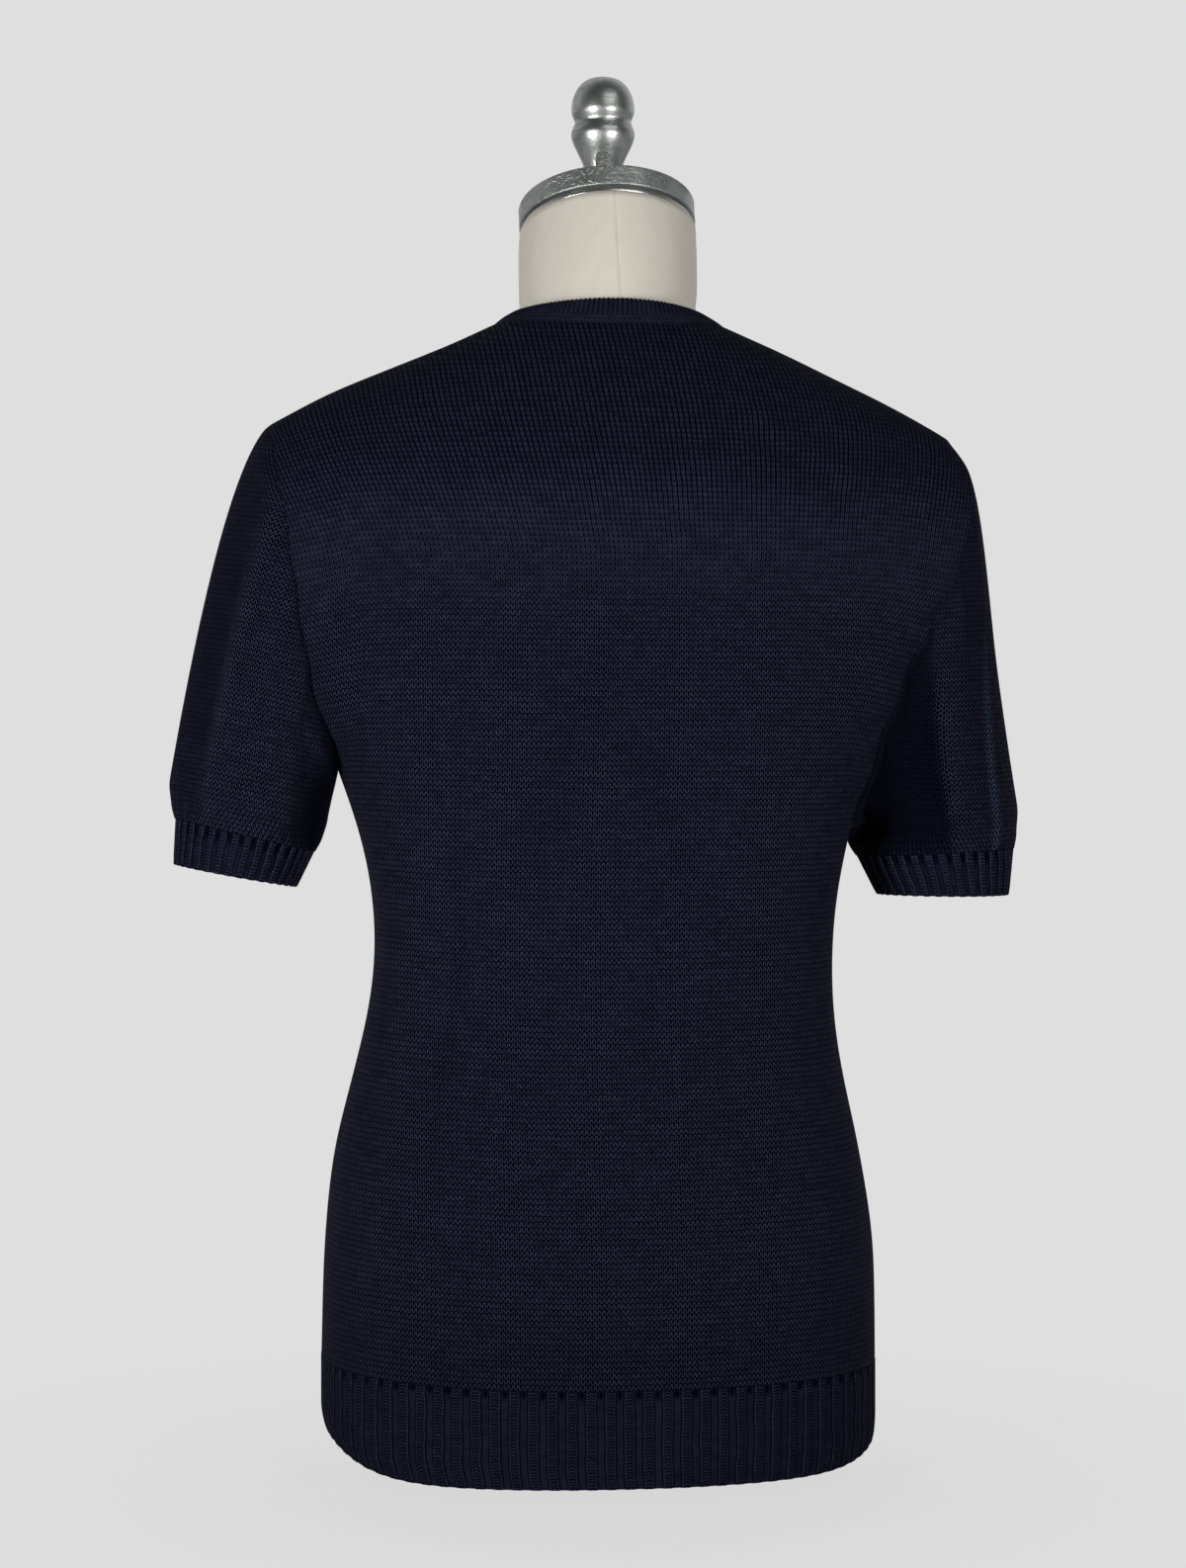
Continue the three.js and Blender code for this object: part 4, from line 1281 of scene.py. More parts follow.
@dataclass(frozen=True)
class NeckBand:
    """The crew-neck band, in a fine rib with a linked seam."""

    pitch: float = 2.95
    cells: int = 8
    rows: int = 18
    y: float = -11
    left: tuple[float, float] = (55, 748.5)
    right: tuple[float, float] = (72.6, 745.5)
    back: tuple[float, float, float] = (-7, 46.5, 752)
    front: tuple[float, float, float] = (-7, -63, 684)
    relief: float = 0.45
    serration: float = 0.5
    bulge: float = 0.5
    fullness: float = 1.12
    ribbed: tuple[float, float] = (0.1, 0.5)
    serrated: tuple[float, float] = (0.7, 1)

    def edge(self, face: Face) -> Row:
        """The band's free edge on one face, as a row."""
        middle = self.back if face is Face.BACK else self.front
        return Row.between(CUT.shoulder_square, self.y, middle, self.left, self.right)

    def make(self) -> Piece:
        """The band as a closed wall with a rounded, serrated free edge."""
        seams, tops, phases = [], [], []
        start = 0
        for face in Face:
            seam_row, top_row = CUT.row(face, LAST_ROW), self.edge(face)
            ends = top_row.points(face, np.array([0.0, 0.5, 1.0]))
            length = np.linalg.norm(np.diff(ends, axis=0), axis=1).sum() * self.fullness
            ribs = round(length / self.pitch)
            shares = np.arange(ribs * self.cells) / (ribs * self.cells)
            seams.append(seam_row.points(face, shares))
            tops.append(top_row.points(face, shares))
            phases.append(start + np.arange(ribs * self.cells) / self.cells)
            start += ribs
        seam, top = np.concatenate(seams), np.concatenate(tops)
        phase = np.concatenate(phases)
        length = np.linalg.norm(top - seam, axis=1).mean()
        end = 1 - RIB / 2 / length
        skin = np.stack([lerp(seam, top, t) for t in end * stations(self.rows, 0.45)])
        run = reach_along(skin, 0)
        wave = np.cos(TURN * phase)
        way = run / run[-1:]
        lift = self.bulge * np.sin(math.pi * way)
        lift += self.relief * (wave - 1) / 2 * ease(way, *self.ribbed)
        rise = self.serration * (wave + 1) / 2 * ease(way, *self.serrated)
        shift = unit(skin[-1] - skin[-2]) * rise[..., None]
        across = np.append(phase, start)
        return rib_wall("neck_band_rib", skin, lift, across, run, 3, shift, round_end=True)


# ---- form and metal
def weld(piece: Piece) -> Piece:
    """Merges points that lie on each other, such as the ones at a pole.

    Args:
        piece: The piece.

    Returns:
        The same piece.
    """
    work = bmesh.new()
    work.from_mesh(piece.data)
    bmesh.ops.remove_doubles(work, verts=work.verts, dist=1e-6)
    bmesh.ops.dissolve_degenerate(work, edges=work.edges, dist=1e-7)
    work.to_mesh(piece.data)
    work.free()
    return piece


def rings_piece(name: str, rings: Array) -> Piece:
    """A closed solid through rings of points, ending in a point at both ends.

    Args:
        name: The piece's name.
        rings: Rings from the lowest to the highest, each running with +Z on its left.

    Returns:
        The piece.
    """
    first = np.repeat(rings[:1].mean(axis=1, keepdims=True), rings.shape[1], axis=1)
    last = np.repeat(rings[-1:].mean(axis=1, keepdims=True), rings.shape[1], axis=1)
    whole = np.concatenate([first, rings, last])
    closed = closed_round(whole)
    knit = np.stack([reach_along(closed, 1), reach_along(closed, 0)], axis=-1) * MM
    draft = Draft(name)
    draft.grid(whole, knit, (0, 0, 1, 1), wrap_columns=True)
    return weld(draft.build())


@dataclass(frozen=True)
class NeckTop:
    """The slanted plane that cuts the neck off, and the frame that the metal stands in."""

    x: float = -7.8
    y: float = -12
    z: float = 801
    slant: float = 20

    def height(self, x: Array, y: Array) -> Array:
        """The plane's height over a point."""
        return self.z + (y - self.y) * math.tan(math.radians(self.slant)) + 0 * x

    def place(self, points: Array) -> Array:
        """Moves points from the slanted frame into the part's frame.

        Args:
            points: The points.

        Returns:
            The points where they stand.
        """
        turn = math.radians(self.slant)
        x, y, z = np.moveaxis(points, -1, 0)
        return vec(
            self.x + x,
            self.y + y * math.cos(turn) - z * math.sin(turn),
            self.z + y * math.sin(turn) + z * math.cos(turn),
        )


NECK_TOP = NeckTop()


@dataclass(frozen=True)
class NeckRow:
    """One row round the neck, by its reach to each side, its middles and their heights."""

    left: float
    right: float
    side: float
    back: float
    back_z: float
    front: float
    front_z: float


@dataclass(frozen=True)
class DressForm:
    """The torso and neck under the garment, covered in cloth with a seam down its back."""

    columns: int = 112
    bottom: float = 60
    hem_clearance: float = 3.5
    taper: float = 4
    plates: tuple[tuple[float, float], ...] = ((165, 206), (162, 211))
    plate_square: float = 2.2
    neck: tuple[NeckRow, ...] = (
        NeckRow(51, 66.2, 746, 42, 749, -54, 693),
        NeckRow(50.2, 66.2, 764, 41.7, 774, -56, 722),
        NeckRow(50.3, 66, 785, 41.6, 799, -61.5, 753),
        NeckRow(49.6, 65.2, 801, 41.5, 820.5, -65.5, 781.5),
    )
    seam_low: tuple[float, float] = (-9.3, 761)
    seam_high: tuple[float, float] = (-5.7, 818)
    seam_depth: float = 0.5
    seam_width: float = 0.8
    seam_from: float = 700
    crowding: float = 1.6
    per_span: int = 5

    def plated(self, row: Row, share: float) -> Row:
        """An armhole row with its edges moved onto the plates that close the armholes.

        Args:
            row: The row.
            share: The share of the way up the armholes.

        Returns:
            The moved row.
        """
        rise = (1 - math.cos(math.pi * share)) / 2
        left, right = (lerp(low, high, rise) for low, high in self.plates)
        square = lerp(row.square, self.plate_square, math.sin(math.pi * share))
        ends = (left, row.left[2]), (right, row.right[2])
        return Row.between(square, row.depth, row.middle, *ends)

    def shares(self) -> Array:
        """Shares across a face, closest together at its middle."""
        t = 2 * np.arange(self.columns) / self.columns - 1
        return 0.5 + 0.5 * np.sign(t) * np.abs(t) ** self.crowding

    def ring(self, rows: dict[Face, Row]) -> Array:
        """A ring through a back row and a front row."""
        return np.concatenate([rows[face].points(face, self.shares()) for face in Face])

    def neck_row(self, face: Face, row: NeckRow) -> Row:
        """One face's half of a row round the neck."""
        middle = (row.back, row.back_z) if face is Face.BACK else (row.front, row.front_z)
        return Row.between(
            2, NECK_TOP.y, (NECK_TOP.x, *middle), (row.left, row.side), (row.right, row.side)
        )

    def make(self) -> Piece:
        """The form as one closed body."""
        rings, insets = [], []
        for at in range(LAST_ROW + 1):
            share = (at - BODY_ROWS) / ARMHOLE_ROWS
            rows = {face: CUT.row(face, at) for face in Face}
            if 0 <= share <= 1:
                rows = {face: self.plated(row, share) for face, row in rows.items()}
            rings.append(self.ring(rows))
            insets.append(CLOTH + FORM_CLEARANCE)
        rings[BODY_ROWS:] = list(relax(np.stack(rings[BODY_ROWS:]), SOFT_PASSES))
        insets[0] = RIB + self.hem_clearance
        insets[-1] = RIB + 2 * FORM_CLEARANCE
        for row in self.neck:
            rings.append(self.ring({face: self.neck_row(face, row) for face in Face}))
            insets.append(0.0)
        grid = np.stack(rings)
        grid[-1, :, 2] = NECK_TOP.height(grid[-1, :, 0], grid[-1, :, 1])
        bottom = grid[:1].copy()
        skin = grid - grid_normals(grid, True) * np.array(insets)[:, None, None]
        inward = unit((bottom.mean(axis=1, keepdims=True) - bottom) * np.array([1, 1, 0]))
        bottom = bottom + inward * (insets[0] + self.taper)
        bottom[..., 2] = self.bottom
        last = len(skin) - 1
        coarse = np.arange(BODY_ROWS + ARMHOLE_ROWS)
        fine = np.arange(coarse[-1] + 1, last + 1e-6, 1 / self.per_span)
        skin = np.concatenate([bottom, rows_between(skin, np.concatenate([coarse, fine]))])
        low, high = self.seam_low, self.seam_high
        at_z = (skin[..., 2] - low[1]) / (high[1] - low[1])
        gap = skin[..., 0] - lerp(low[0], high[0], at_z)
        behind = (skin[..., 1] > NECK_TOP.y) & (skin[..., 2] > self.seam_from)
        groove = np.where(behind, self.seam_depth * hill(gap, self.seam_width), 0)
        skin -= grid_normals(skin, True) * groove[..., None]
        skin[-1, :, 2] = NECK_TOP.height(skin[-1, :, 0], skin[-1, :, 1])
        return rings_piece("form_body_cloth", skin)


def turned(profile: Sequence[tuple[float, float]], columns: int, oval: float = 1.0) -> Array:
    """Rings of a turned shape, or of an oval one.

    Args:
        profile: Radii and heights, from the lowest ring up.
        columns: How many points go round.
        oval: The depth of the rings against their width.

    Returns:
        The rings.
    """
    angles = TURN * np.arange(columns) / columns
    radii, heights = np.array(profile, float).T[..., None]
    return vec(radii * np.cos(angles), radii * np.sin(angles) * oval, heights)


def bevel(radius: float, height: float, edge: float, up: bool, steps: int = 4) -> list:
    """The rounded corner of a turned shape.

    Args:
        radius: The full radius at the corner.
        height: The height of the flat face at the corner.
        edge: The corner's own radius.
        up: Whether it is the upper corner.
        steps: How many steps the rounding takes.

    Returns:
        Radii and heights, from the lowest up.
    """
    sign = 1 if up else -1
    angles = np.linspace(0, math.pi / 2, steps + 1)
    corner = [
        (radius - edge + edge * math.cos(a), height - sign * edge * (1 - math.sin(a)))
        for a in angles
    ]
    return corner if up else corner[::-1]


@dataclass(frozen=True)
class Flange:
    """The bright ring on the neck, with the narrower spacer above it."""

    radius: float = 56.3
    height: float = 2.2
    spacer_radius: float = 51
    spacer_height: float = 4.2
    edge: float = 0.5
    columns: int = 160

    def make(self) -> Piece:
        """The ring and spacer as one turned body."""
        foot = SEAM_GAP
        profile = (
            [(self.radius * 0.5, foot)]
            + bevel(self.radius, foot, self.edge, False)
            + bevel(self.radius, foot + self.height, self.edge, True)
            + [(self.spacer_radius + 0.3, foot + self.height), (self.spacer_radius, foot + 2.6)]
            + bevel(self.spacer_radius, foot + self.spacer_height, 0.4, True)
            + [(self.spacer_radius * 0.5, foot + self.spacer_height)]
        )
        return rings_piece("neck_flange_ring", NECK_TOP.place(turned(profile, self.columns)))


@dataclass(frozen=True)
class Cap:
    """The cast cap that closes the neck."""

    radius: float = 57.4
    height: float = 14
    edge: float = 1.2
    foot: float = 4.84
    dish: float = 0.5
    columns: int = 192

    @property
    def top(self) -> float:
        """The height of the cap's top in the slanted frame."""
        return self.foot + self.height

    def make(self) -> Piece:
        """The cap as one turned body, with a faint step round its top."""
        top = self.top
        wall = [
            (self.radius - 0.12 * math.sin(math.pi * t), lerp(self.foot + 0.9, top - self.edge, t))
            for t in np.linspace(0.1, 0.9, 9)
        ]
        profile = (
            [(self.radius * 0.4, self.foot), (self.radius * 0.8, self.foot)]
            + bevel(self.radius, self.foot, 0.8, False)
            + wall
            + bevel(self.radius, top, self.edge, True)
            + [(self.radius - 3.0, top), (self.radius - 3.8, top - self.dish)]
            + [(share * self.radius, top - self.dish) for share in (0.8, 0.6, 0.45, 0.3)]
        )
        return rings_piece("neck_cap_disc", NECK_TOP.place(turned(profile, self.columns)))


@dataclass(frozen=True)
class Finial:
    """The turned knob on the cap."""

    x: float = -5.5
    y: float = -18
    stem: float = 10.5
    profile: tuple[tuple[float, float], ...] = (
        (10.5, 24), (10.5, 30), (10.8, 34), (11.6, 40), (13.0, 45.5), (15.3, 51), (18.2, 57),
        (20.0, 61.5), (20.7, 65.0), (20.4, 67.6), (19.5, 70.0), (18.7, 72.0), (18.4, 73.4),
        (18.7, 74.8), (19.5, 76.6), (20.35, 78.8), (20.62, 80.8),
    )
    egg_from: float = 80.6
    top: float = 102.8
    square: float = 0.74
    columns: int = 128

    def make(self) -> Piece:
        """The knob as one turned body, cut along the cap's slanted top."""
        outline = np.array(self.profile)
        places = np.linspace(0, len(outline) - 1, 4 * len(outline) - 3)
        widest = outline[-1, 0]
        egg = [
            (widest * math.cos(a) ** self.square, lerp(self.egg_from, self.top, math.sin(a)))
            for a in np.linspace(0, math.pi / 2, 26)[1:-1]
        ]
        rings = turned([*rows_between(outline, places), *egg], self.columns)
        rings += np.array([self.x, self.y, NECK_TOP.z])
        foot = turned([(self.stem, 0)], self.columns) + np.array([self.x, self.y, 0])
        lift = Cap().top / math.cos(math.radians(NECK_TOP.slant)) + SEAM_GAP
        foot[..., 2] = NECK_TOP.height(foot[..., 0], foot[..., 1]) + lift
        return rings_piece("finial_knob", np.concatenate([foot, rings]))


@dataclass(frozen=True)
class Lug:
    """The small tab at the foot of the knob."""

    width: float = 10.5
    depth: float = 4
    height: float = 24
    x: float = 4.4
    y: float = 27
    edge: float = 0.9
    square: float = 0.42
    columns: int = 64

    def make(self) -> Piece:
        """The tab: flat sides, a rounded top and eased edges."""
        angles = TURN * np.arange(self.columns) / self.columns
        out, up = np.cos(angles), np.sin(angles)
        x = self.width / 2 * np.sign(out) * np.abs(out) ** self.square
        z = self.height / 2 * (1 + np.sign(up) * np.abs(up) ** self.square)
        eased = [
            (self.edge * (1 - math.sin(turn)), self.edge * (1 - math.cos(turn)))
            for turn in np.linspace(0, math.pi / 2, 5)
        ]
        depths = eased + [(inset, self.depth - deep) for inset, deep in eased[::-1]]
        grid = []
        middle = self.height / 2
        for inset, deep in depths:
            wide = x * (1 - inset / (self.width / 2))
            high = middle + (z - middle) * (1 - inset / middle)
            grid.append(vec(wide, self.y + self.depth - deep, high))
        points = np.stack(grid)
        points[..., 0] += self.x
        points[..., 2] += Cap().top + SEAM_GAP
        return rings_piece("finial_lug_tab", NECK_TOP.place(points))


@dataclass(frozen=True)
class Foot:
    """The oval wooden foot under the form."""

    half_width: float = 100
    half_depth: float = 60
    height: float = 59.5
    edge: float = 1.5
    columns: int = 128

    def make(self) -> Piece:
        """The foot as one body with eased edges."""
        wall = [(self.half_width, z) for z in np.linspace(self.edge + 2, self.height - 4, 6)]
        profile = (
            [(self.half_width * 0.5, 0)]
            + bevel(self.half_width, 0, self.edge, False)
            + wall
            + bevel(self.half_width, self.height, self.edge, True)
            + [(self.half_width * 0.5, self.height)]
        )
        rings = turned(profile, self.columns, self.half_depth / self.half_width)
        return rings_piece("form_foot_block", rings)


# ---- shader nodes
Socket = bpy.types.NodeSocket


class Wiring:
    """Places shader nodes in one tree and joins them."""

    def __init__(self, tree: bpy.types.NodeTree) -> None:
        """Starts on a tree, which it empties."""
        tree.nodes.clear()
        self.tree = tree
        self.placed = 0

    def node(self, kind: str, inputs: dict[Any, Any] | None = None, **settings: Any) -> Any:
        """Adds one node.

        Args:
            kind: Its type.
            inputs: Values or sockets for its inputs, by name or number.
            settings: Its own settings.

        Returns:
            The node.
        """
        made = self.tree.nodes.new(kind)
        made.location = (220 * (self.placed % 10), -300 * (self.placed // 10))
        self.placed += 1
        for name, value in settings.items():
            setattr(made, name, value)
        for name, value in (inputs or {}).items():
            self.put(made.inputs[name], value)
        return made

    def put(self, socket: Socket, value: Any) -> None:
        """Joins a socket to an input, or sets the input's own value."""
        if isinstance(value, bpy.types.NodeSocket):
            self.tree.links.new(value, socket)
        else:
            socket.default_value = value

    def math(self, operation: str, *values: Any, clamp: bool = False) -> Socket:
        """A sum on numbers or sockets, kept between 0 and 1 where it is clamped."""
        inputs = dict(enumerate(values))
        return self.node("ShaderNodeMath", inputs, operation=operation, use_clamp=clamp).outputs[0]

    def times(self, first: Any, second: Any, clamp: bool = False) -> Socket:
        """One number times another."""
        return self.math("MULTIPLY", first, second, clamp=clamp)

    def plus(self, first: Any, second: Any) -> Socket:
        """The sum of two numbers."""
        return self.math("ADD", first, second)

    def less(self, first: Any, second: Any, clamp: bool = False) -> Socket:
        """The first number less the second."""
        return self.math("SUBTRACT", first, second, clamp=clamp)

    def part(self, first: Any, second: Any) -> Socket:
        """The first number divided by the second."""
        return self.math("DIVIDE", first, second)

    def step(self, value: Any, low: Any, high: Any) -> Socket:
        """A smooth step from 0 at low to 1 at high, whichever of them is the larger."""
        inputs = {0: value, 1: low, 2: high, 3: 0.0, 4: 1.0}
        return self.node("ShaderNodeMapRange", inputs, interpolation_type="SMOOTHSTEP").outputs[0]

    def scale(self, value: Any, low: float, high: float) -> Socket:
        """A value from 0 to 1 spread over another range."""
        return self.math("MULTIPLY_ADD", value, high - low, low)

    def split(self, vector: Socket) -> Any:
        """The three numbers of a vector."""
        return self.node("ShaderNodeSeparateXYZ", {0: vector}).outputs

    def join(self, x: Any, y: Any, z: Any = 0.0) -> Socket:
        """A vector of three numbers."""
        return self.node("ShaderNodeCombineXYZ", {0: x, 1: y, 2: z}).outputs[0]

    def bell(self, value: Any, middle: float, width: Any) -> Socket:
        """A smooth bump of height 1 at a middle value, which falls away over a width."""
        offset = self.part(self.less(value, middle), width)
        return self.math("EXPONENT", self.times(self.times(offset, offset), -1.0))

    def blend(self, share: Any, first: Any, second: Any, way: str = "MIX") -> Socket:
        """One colour mixed with a share of a second, in a given way."""
        inputs = {0: share, 6: first, 7: second}
        return self.node("ShaderNodeMix", inputs, data_type="RGBA", blend_type=way).outputs[2]

    def tone(self, colour: Any, tone: Socket) -> Socket:
        """A colour made lighter or darker by a number."""
        grey = self.node("ShaderNodeCombineColor", {0: tone, 1: tone, 2: tone}).outputs[0]
        return self.blend(1.0, colour, grey, "MULTIPLY")

    def bump(self, height: Any, distance: float, strength: float = 1.0) -> Socket:
        """A surface normal raised by a height."""
        inputs = {"Strength": strength, "Distance": distance, "Height": height}
        return self.node("ShaderNodeBump", inputs).outputs[0]

    def noise(self, vector: Any, scale: Any, detail: float = 2.0, rough: float = 0.5) -> Socket:
        """Noise from 0 to 1, with a scale, a number of finer layers and their strength."""
        inputs = {"Vector": vector, "Scale": scale, "Detail": detail, "Roughness": rough}
        return self.node("ShaderNodeTexNoise", inputs).outputs[0]


@dataclass
class EffectGroup:
    """A shader node group with named inputs and outputs."""

    name: str
    inputs: dict[str, Any]
    outputs: tuple[str, ...] = ("Height", "Cell")
    tree: bpy.types.NodeTree | None = None

    def open(self) -> tuple[Wiring, Any, Any]:
        """Starts the group's tree.

        Returns:
            Its wiring, its input sockets and its output node's inputs.
        """
        self.tree = bpy.data.node_groups.new(self.name, "ShaderNodeTree")
        for name, value in self.inputs.items():
            kind = "NodeSocketVector" if value is None else "NodeSocketFloat"
            socket = self.tree.interface.new_socket(name, in_out="INPUT", socket_type=kind)
            if value is not None:
                socket.default_value = value
        for name in self.outputs:
            kind = "NodeSocketVector" if name == "Cell" else "NodeSocketFloat"
            self.tree.interface.new_socket(name, in_out="OUTPUT", socket_type=kind)
        wiring = Wiring(self.tree)
        start = wiring.node("NodeGroupInput")
        end = wiring.node("NodeGroupOutput")
        return wiring, start.outputs, end.inputs

    def use(self, wiring: Wiring, **values: Any) -> Any:
        """Places the group in a material, with values or sockets for its inputs."""
        return wiring.node("ShaderNodeGroup", values, node_tree=self.tree).outputs


def stitch_height(w: Wiring, across: Socket, up: Socket) -> Socket:
    """The height of one column of knit loops: thin legs that leave a round bottom and spread.

    Args:
        w: The wiring.
        across: The place across the column, from -0.5 to 0.5.
        up: The place up it, one loop to each whole number.

    Returns:
        The yarn's height, from 0 in the gaps to 1 on the legs.
    """
    side = w.math("ABSOLUTE", across)
    along = w.math("FRACT", up)
    line = w.math("MULTIPLY_ADD", w.math("POWER", along, 0.72), LEG_SPREAD, LEG_START)
    leg = w.bell(w.less(side, line), 0.0, LEG_WIDTH)
    rise = w.step(along, 0.0, 0.14)
    fall = w.scale(w.step(along, 1.0, 0.78), 0.2, 1.0)
    return w.times(leg, w.times(rise, fall))


def parted_height(w: Wiring, across: Socket, up: Socket) -> Socket:
    """The height of a column of loops that stands apart from its neighbours.

    Args:
        w: The wiring.
        across: The place across the column, from -0.5 to 0.5.
        up: The place up it, one loop to each whole number.

    Returns:
        The yarn's height, from 0 between the columns to 1 on the loops.
    """
    side = w.math("ABSOLUTE", across)
    along = w.math("FRACT", w.less(up, w.times(side, LEG_SLOPE)))
    loop = w.times(w.step(along, 0.0, 0.30), w.step(along, 1.0, 0.70))
    middle = w.scale(w.step(side, 0.0, 0.13), 0.22, 1.0)
    column = w.step(side, 0.40, 0.20)
    return w.times(w.scale(loop, 0.10, 1.0), w.times(middle, column))


@dataclass
class StockinetteGroup(EffectGroup):
    """Plain knit: columns of loops that show as V shapes."""

    name: str = "Stockinette"
    inputs: dict[str, Any] = field(
        default_factory=lambda: {"Map": None, "Wale": 0.0031, "Course": 0.0037, "Open": 0.0}
    )
    parted_height: float = 0.38

    def build(self) -> "StockinetteGroup":
        """Builds the group's nodes."""
        w, inputs, outputs = self.open()
        u, v, _ = w.split(inputs["Map"])
        wobble = w.node(
            "ShaderNodeTexNoise", {"Vector": inputs["Map"], "Scale": 140.0, "Detail": 1.0}
        ).outputs[1]
        wobble_u, wobble_v, _ = w.split(wobble)
        column = w.part(u, inputs["Wale"])
        loop = w.part(v, inputs["Course"])
        column = w.plus(column, w.scale(wobble_u, -0.16, 0.16))
        loop = w.plus(loop, w.scale(wobble_v, -0.18, 0.18))
        across = w.less(w.math("FRACT", column), 0.5)
        close = w.less(1.0, inputs["Open"])
        shut = w.times(stitch_height(w, across, loop), close)
        parted = w.times(parted_height(w, across, loop), inputs["Open"])
        parted = w.times(parted, self.parted_height)
        w.put(outputs["Height"], w.plus(shut, parted))
        w.put(outputs["Cell"], w.join(w.math("FLOOR", column), w.math("FLOOR", loop)))
        return self


@dataclass
class RibGroup(EffectGroup):
    """Two-by-two rib: two raised columns of loops, then a recess of slanting purl ridges."""

    name: str = "Two-by-two rib"
    inputs: dict[str, Any] = field(
        default_factory=lambda: {"Map": None, "Course": 0.0019, "Hole": 0.0024, "Fill": 1.0}
    )
    first: float = 0.07
    raised: float = 0.56

    def build(self) -> "RibGroup":
        """Builds the group's nodes."""
        w, inputs, outputs = self.open()
        u, v, _ = w.split(inputs["Map"])
        run = w.times(v, 170.0)
        sway = w.scale(w.noise(w.join(w.times(u, 0.7), run), 0.45), -0.09, 0.09)
        phase = w.math("FRACT", w.plus(w.less(u, self.first), sway))
        loop = w.part(v, inputs["Course"])
        loop = w.plus(loop, w.scale(w.noise(w.join(u, run), 1.1), -0.6, 0.6))
        on_top = w.step(phase, self.raised + 0.02, self.raised - 0.02)
        wale = w.part(phase, self.raised)
        edges = w.plus(w.bell(wale, 0.09, 0.065), w.bell(wale, 0.90, 0.065))
        beads = w.scale(w.math("SINE", w.times(loop, TURN)), 0.62, 0.9)
        middle = w.math("ABSOLUTE", w.less(wale, 0.5))
        arch = w.math("FRACT", w.math("MULTIPLY_ADD", middle, 1.8, loop))
        ticks = w.times(w.bell(arch, 0.5, 0.20), w.step(middle, 0.36, 0.24))
        chain = w.math("MAXIMUM", w.times(edges, beads), w.scale(ticks, 0.0, 0.7))
        low = w.part(w.less(phase, self.raised), 1 - self.raised)
        rib = w.math("FLOOR", w.less(u, self.first))
        turn = w.noise(w.join(w.times(rib, 3.7), run), 0.33)
        lean = w.scale(w.step(turn, 0.30, 0.36), 2.2, -2.6)
        slant = w.plus(loop, w.times(lean, w.less(low, 0.5)))
        hatch = w.scale(w.bell(w.math("FRACT", slant), 0.5, 0.26), 0.20, 0.72)
        walls = w.times(w.step(low, 0.02, 0.24), w.step(low, 0.98, 0.76))
        depth = w.scale(w.noise(w.join(w.times(rib, 5.3), run), 0.8), 0.3, 1.3)
        depth = w.times(depth, inputs["Fill"])
        recess = w.times(hatch, w.times(walls, depth, clamp=True))
        size = w.scale(w.noise(w.join(w.times(rib, 9.1), 0.0), 1.0), 0.8, 1.9)
        beyond = w.plus(v, inputs["Hole"])
        narrow = w.math("MULTIPLY_ADD", w.part(beyond, inputs["Hole"]), 0.09, 0.30)
        place = w.part(w.less(low, 0.5), narrow)
        side = w.math("EXPONENT", w.times(w.times(place, place), -1.0))
        hole = w.times(w.bell(beyond, 0.0, inputs["Hole"]), side)
        recess = w.times(recess, w.less(1.0, w.times(hole, size, True), True))
        rise = w.times(on_top, w.less(chain, recess))
        w.put(outputs["Height"], w.plus(recess, rise))
        stitch = w.math("FLOOR", w.times(u, 4.0))
        w.put(outputs["Cell"], w.join(stitch, w.math("FLOOR", loop)))
        return self


@dataclass
class LinkedRibGroup(EffectGroup):
    """The neck band's fine rib, with two zigzag rows of linking along its seam."""

    name: str = "Linked fine rib"
    inputs: dict[str, Any] = field(default_factory=lambda: {"Map": None, "Course": 0.0019})
    rows: tuple[float, float] = (0.0020, 0.0046)
    swing: float = 0.0012
    thick: float = 0.0005

    def build(self) -> "LinkedRibGroup":
        """Builds the group's nodes."""
        w, inputs, outputs = self.open()
        u, v, _ = w.split(inputs["Map"])
        loop = w.part(v, inputs["Course"])
        across = w.less(w.math("FRACT", u), 0.5)
        plain = w.times(stitch_height(w, across, loop), 0.62)
        ribbed = w.math("MAXIMUM", plain, w.scale(w.bell(across, 0.0, 0.24), 0.05, 0.42))
        high = w.step(v, self.rows[1] + 0.0008, self.rows[1] + 0.0022)
        height = w.scale(high, 0.22, 0.0)
        height = w.plus(height, w.times(ribbed, high))
        turn = w.times(w.math("ABSOLUTE", across), 2.0)
        patchy = w.scale(w.noise(w.join(u, w.times(v, 300.0)), 0.7), 0.30, 0.85)
        for place, way in zip(self.rows, (1.0, -1.0)):
            line = w.math("MULTIPLY_ADD", turn, way * self.swing, place - way * self.swing / 2)
            zigzag = w.bell(w.less(v, line), 0.0, self.thick)
            zigzag = w.times(zigzag, patchy)
            height = w.math("MAXIMUM", height, zigzag)
        w.put(outputs["Height"], height)
        w.put(outputs["Cell"], w.join(w.math("FLOOR", u), w.math("FLOOR", loop)))
        return self


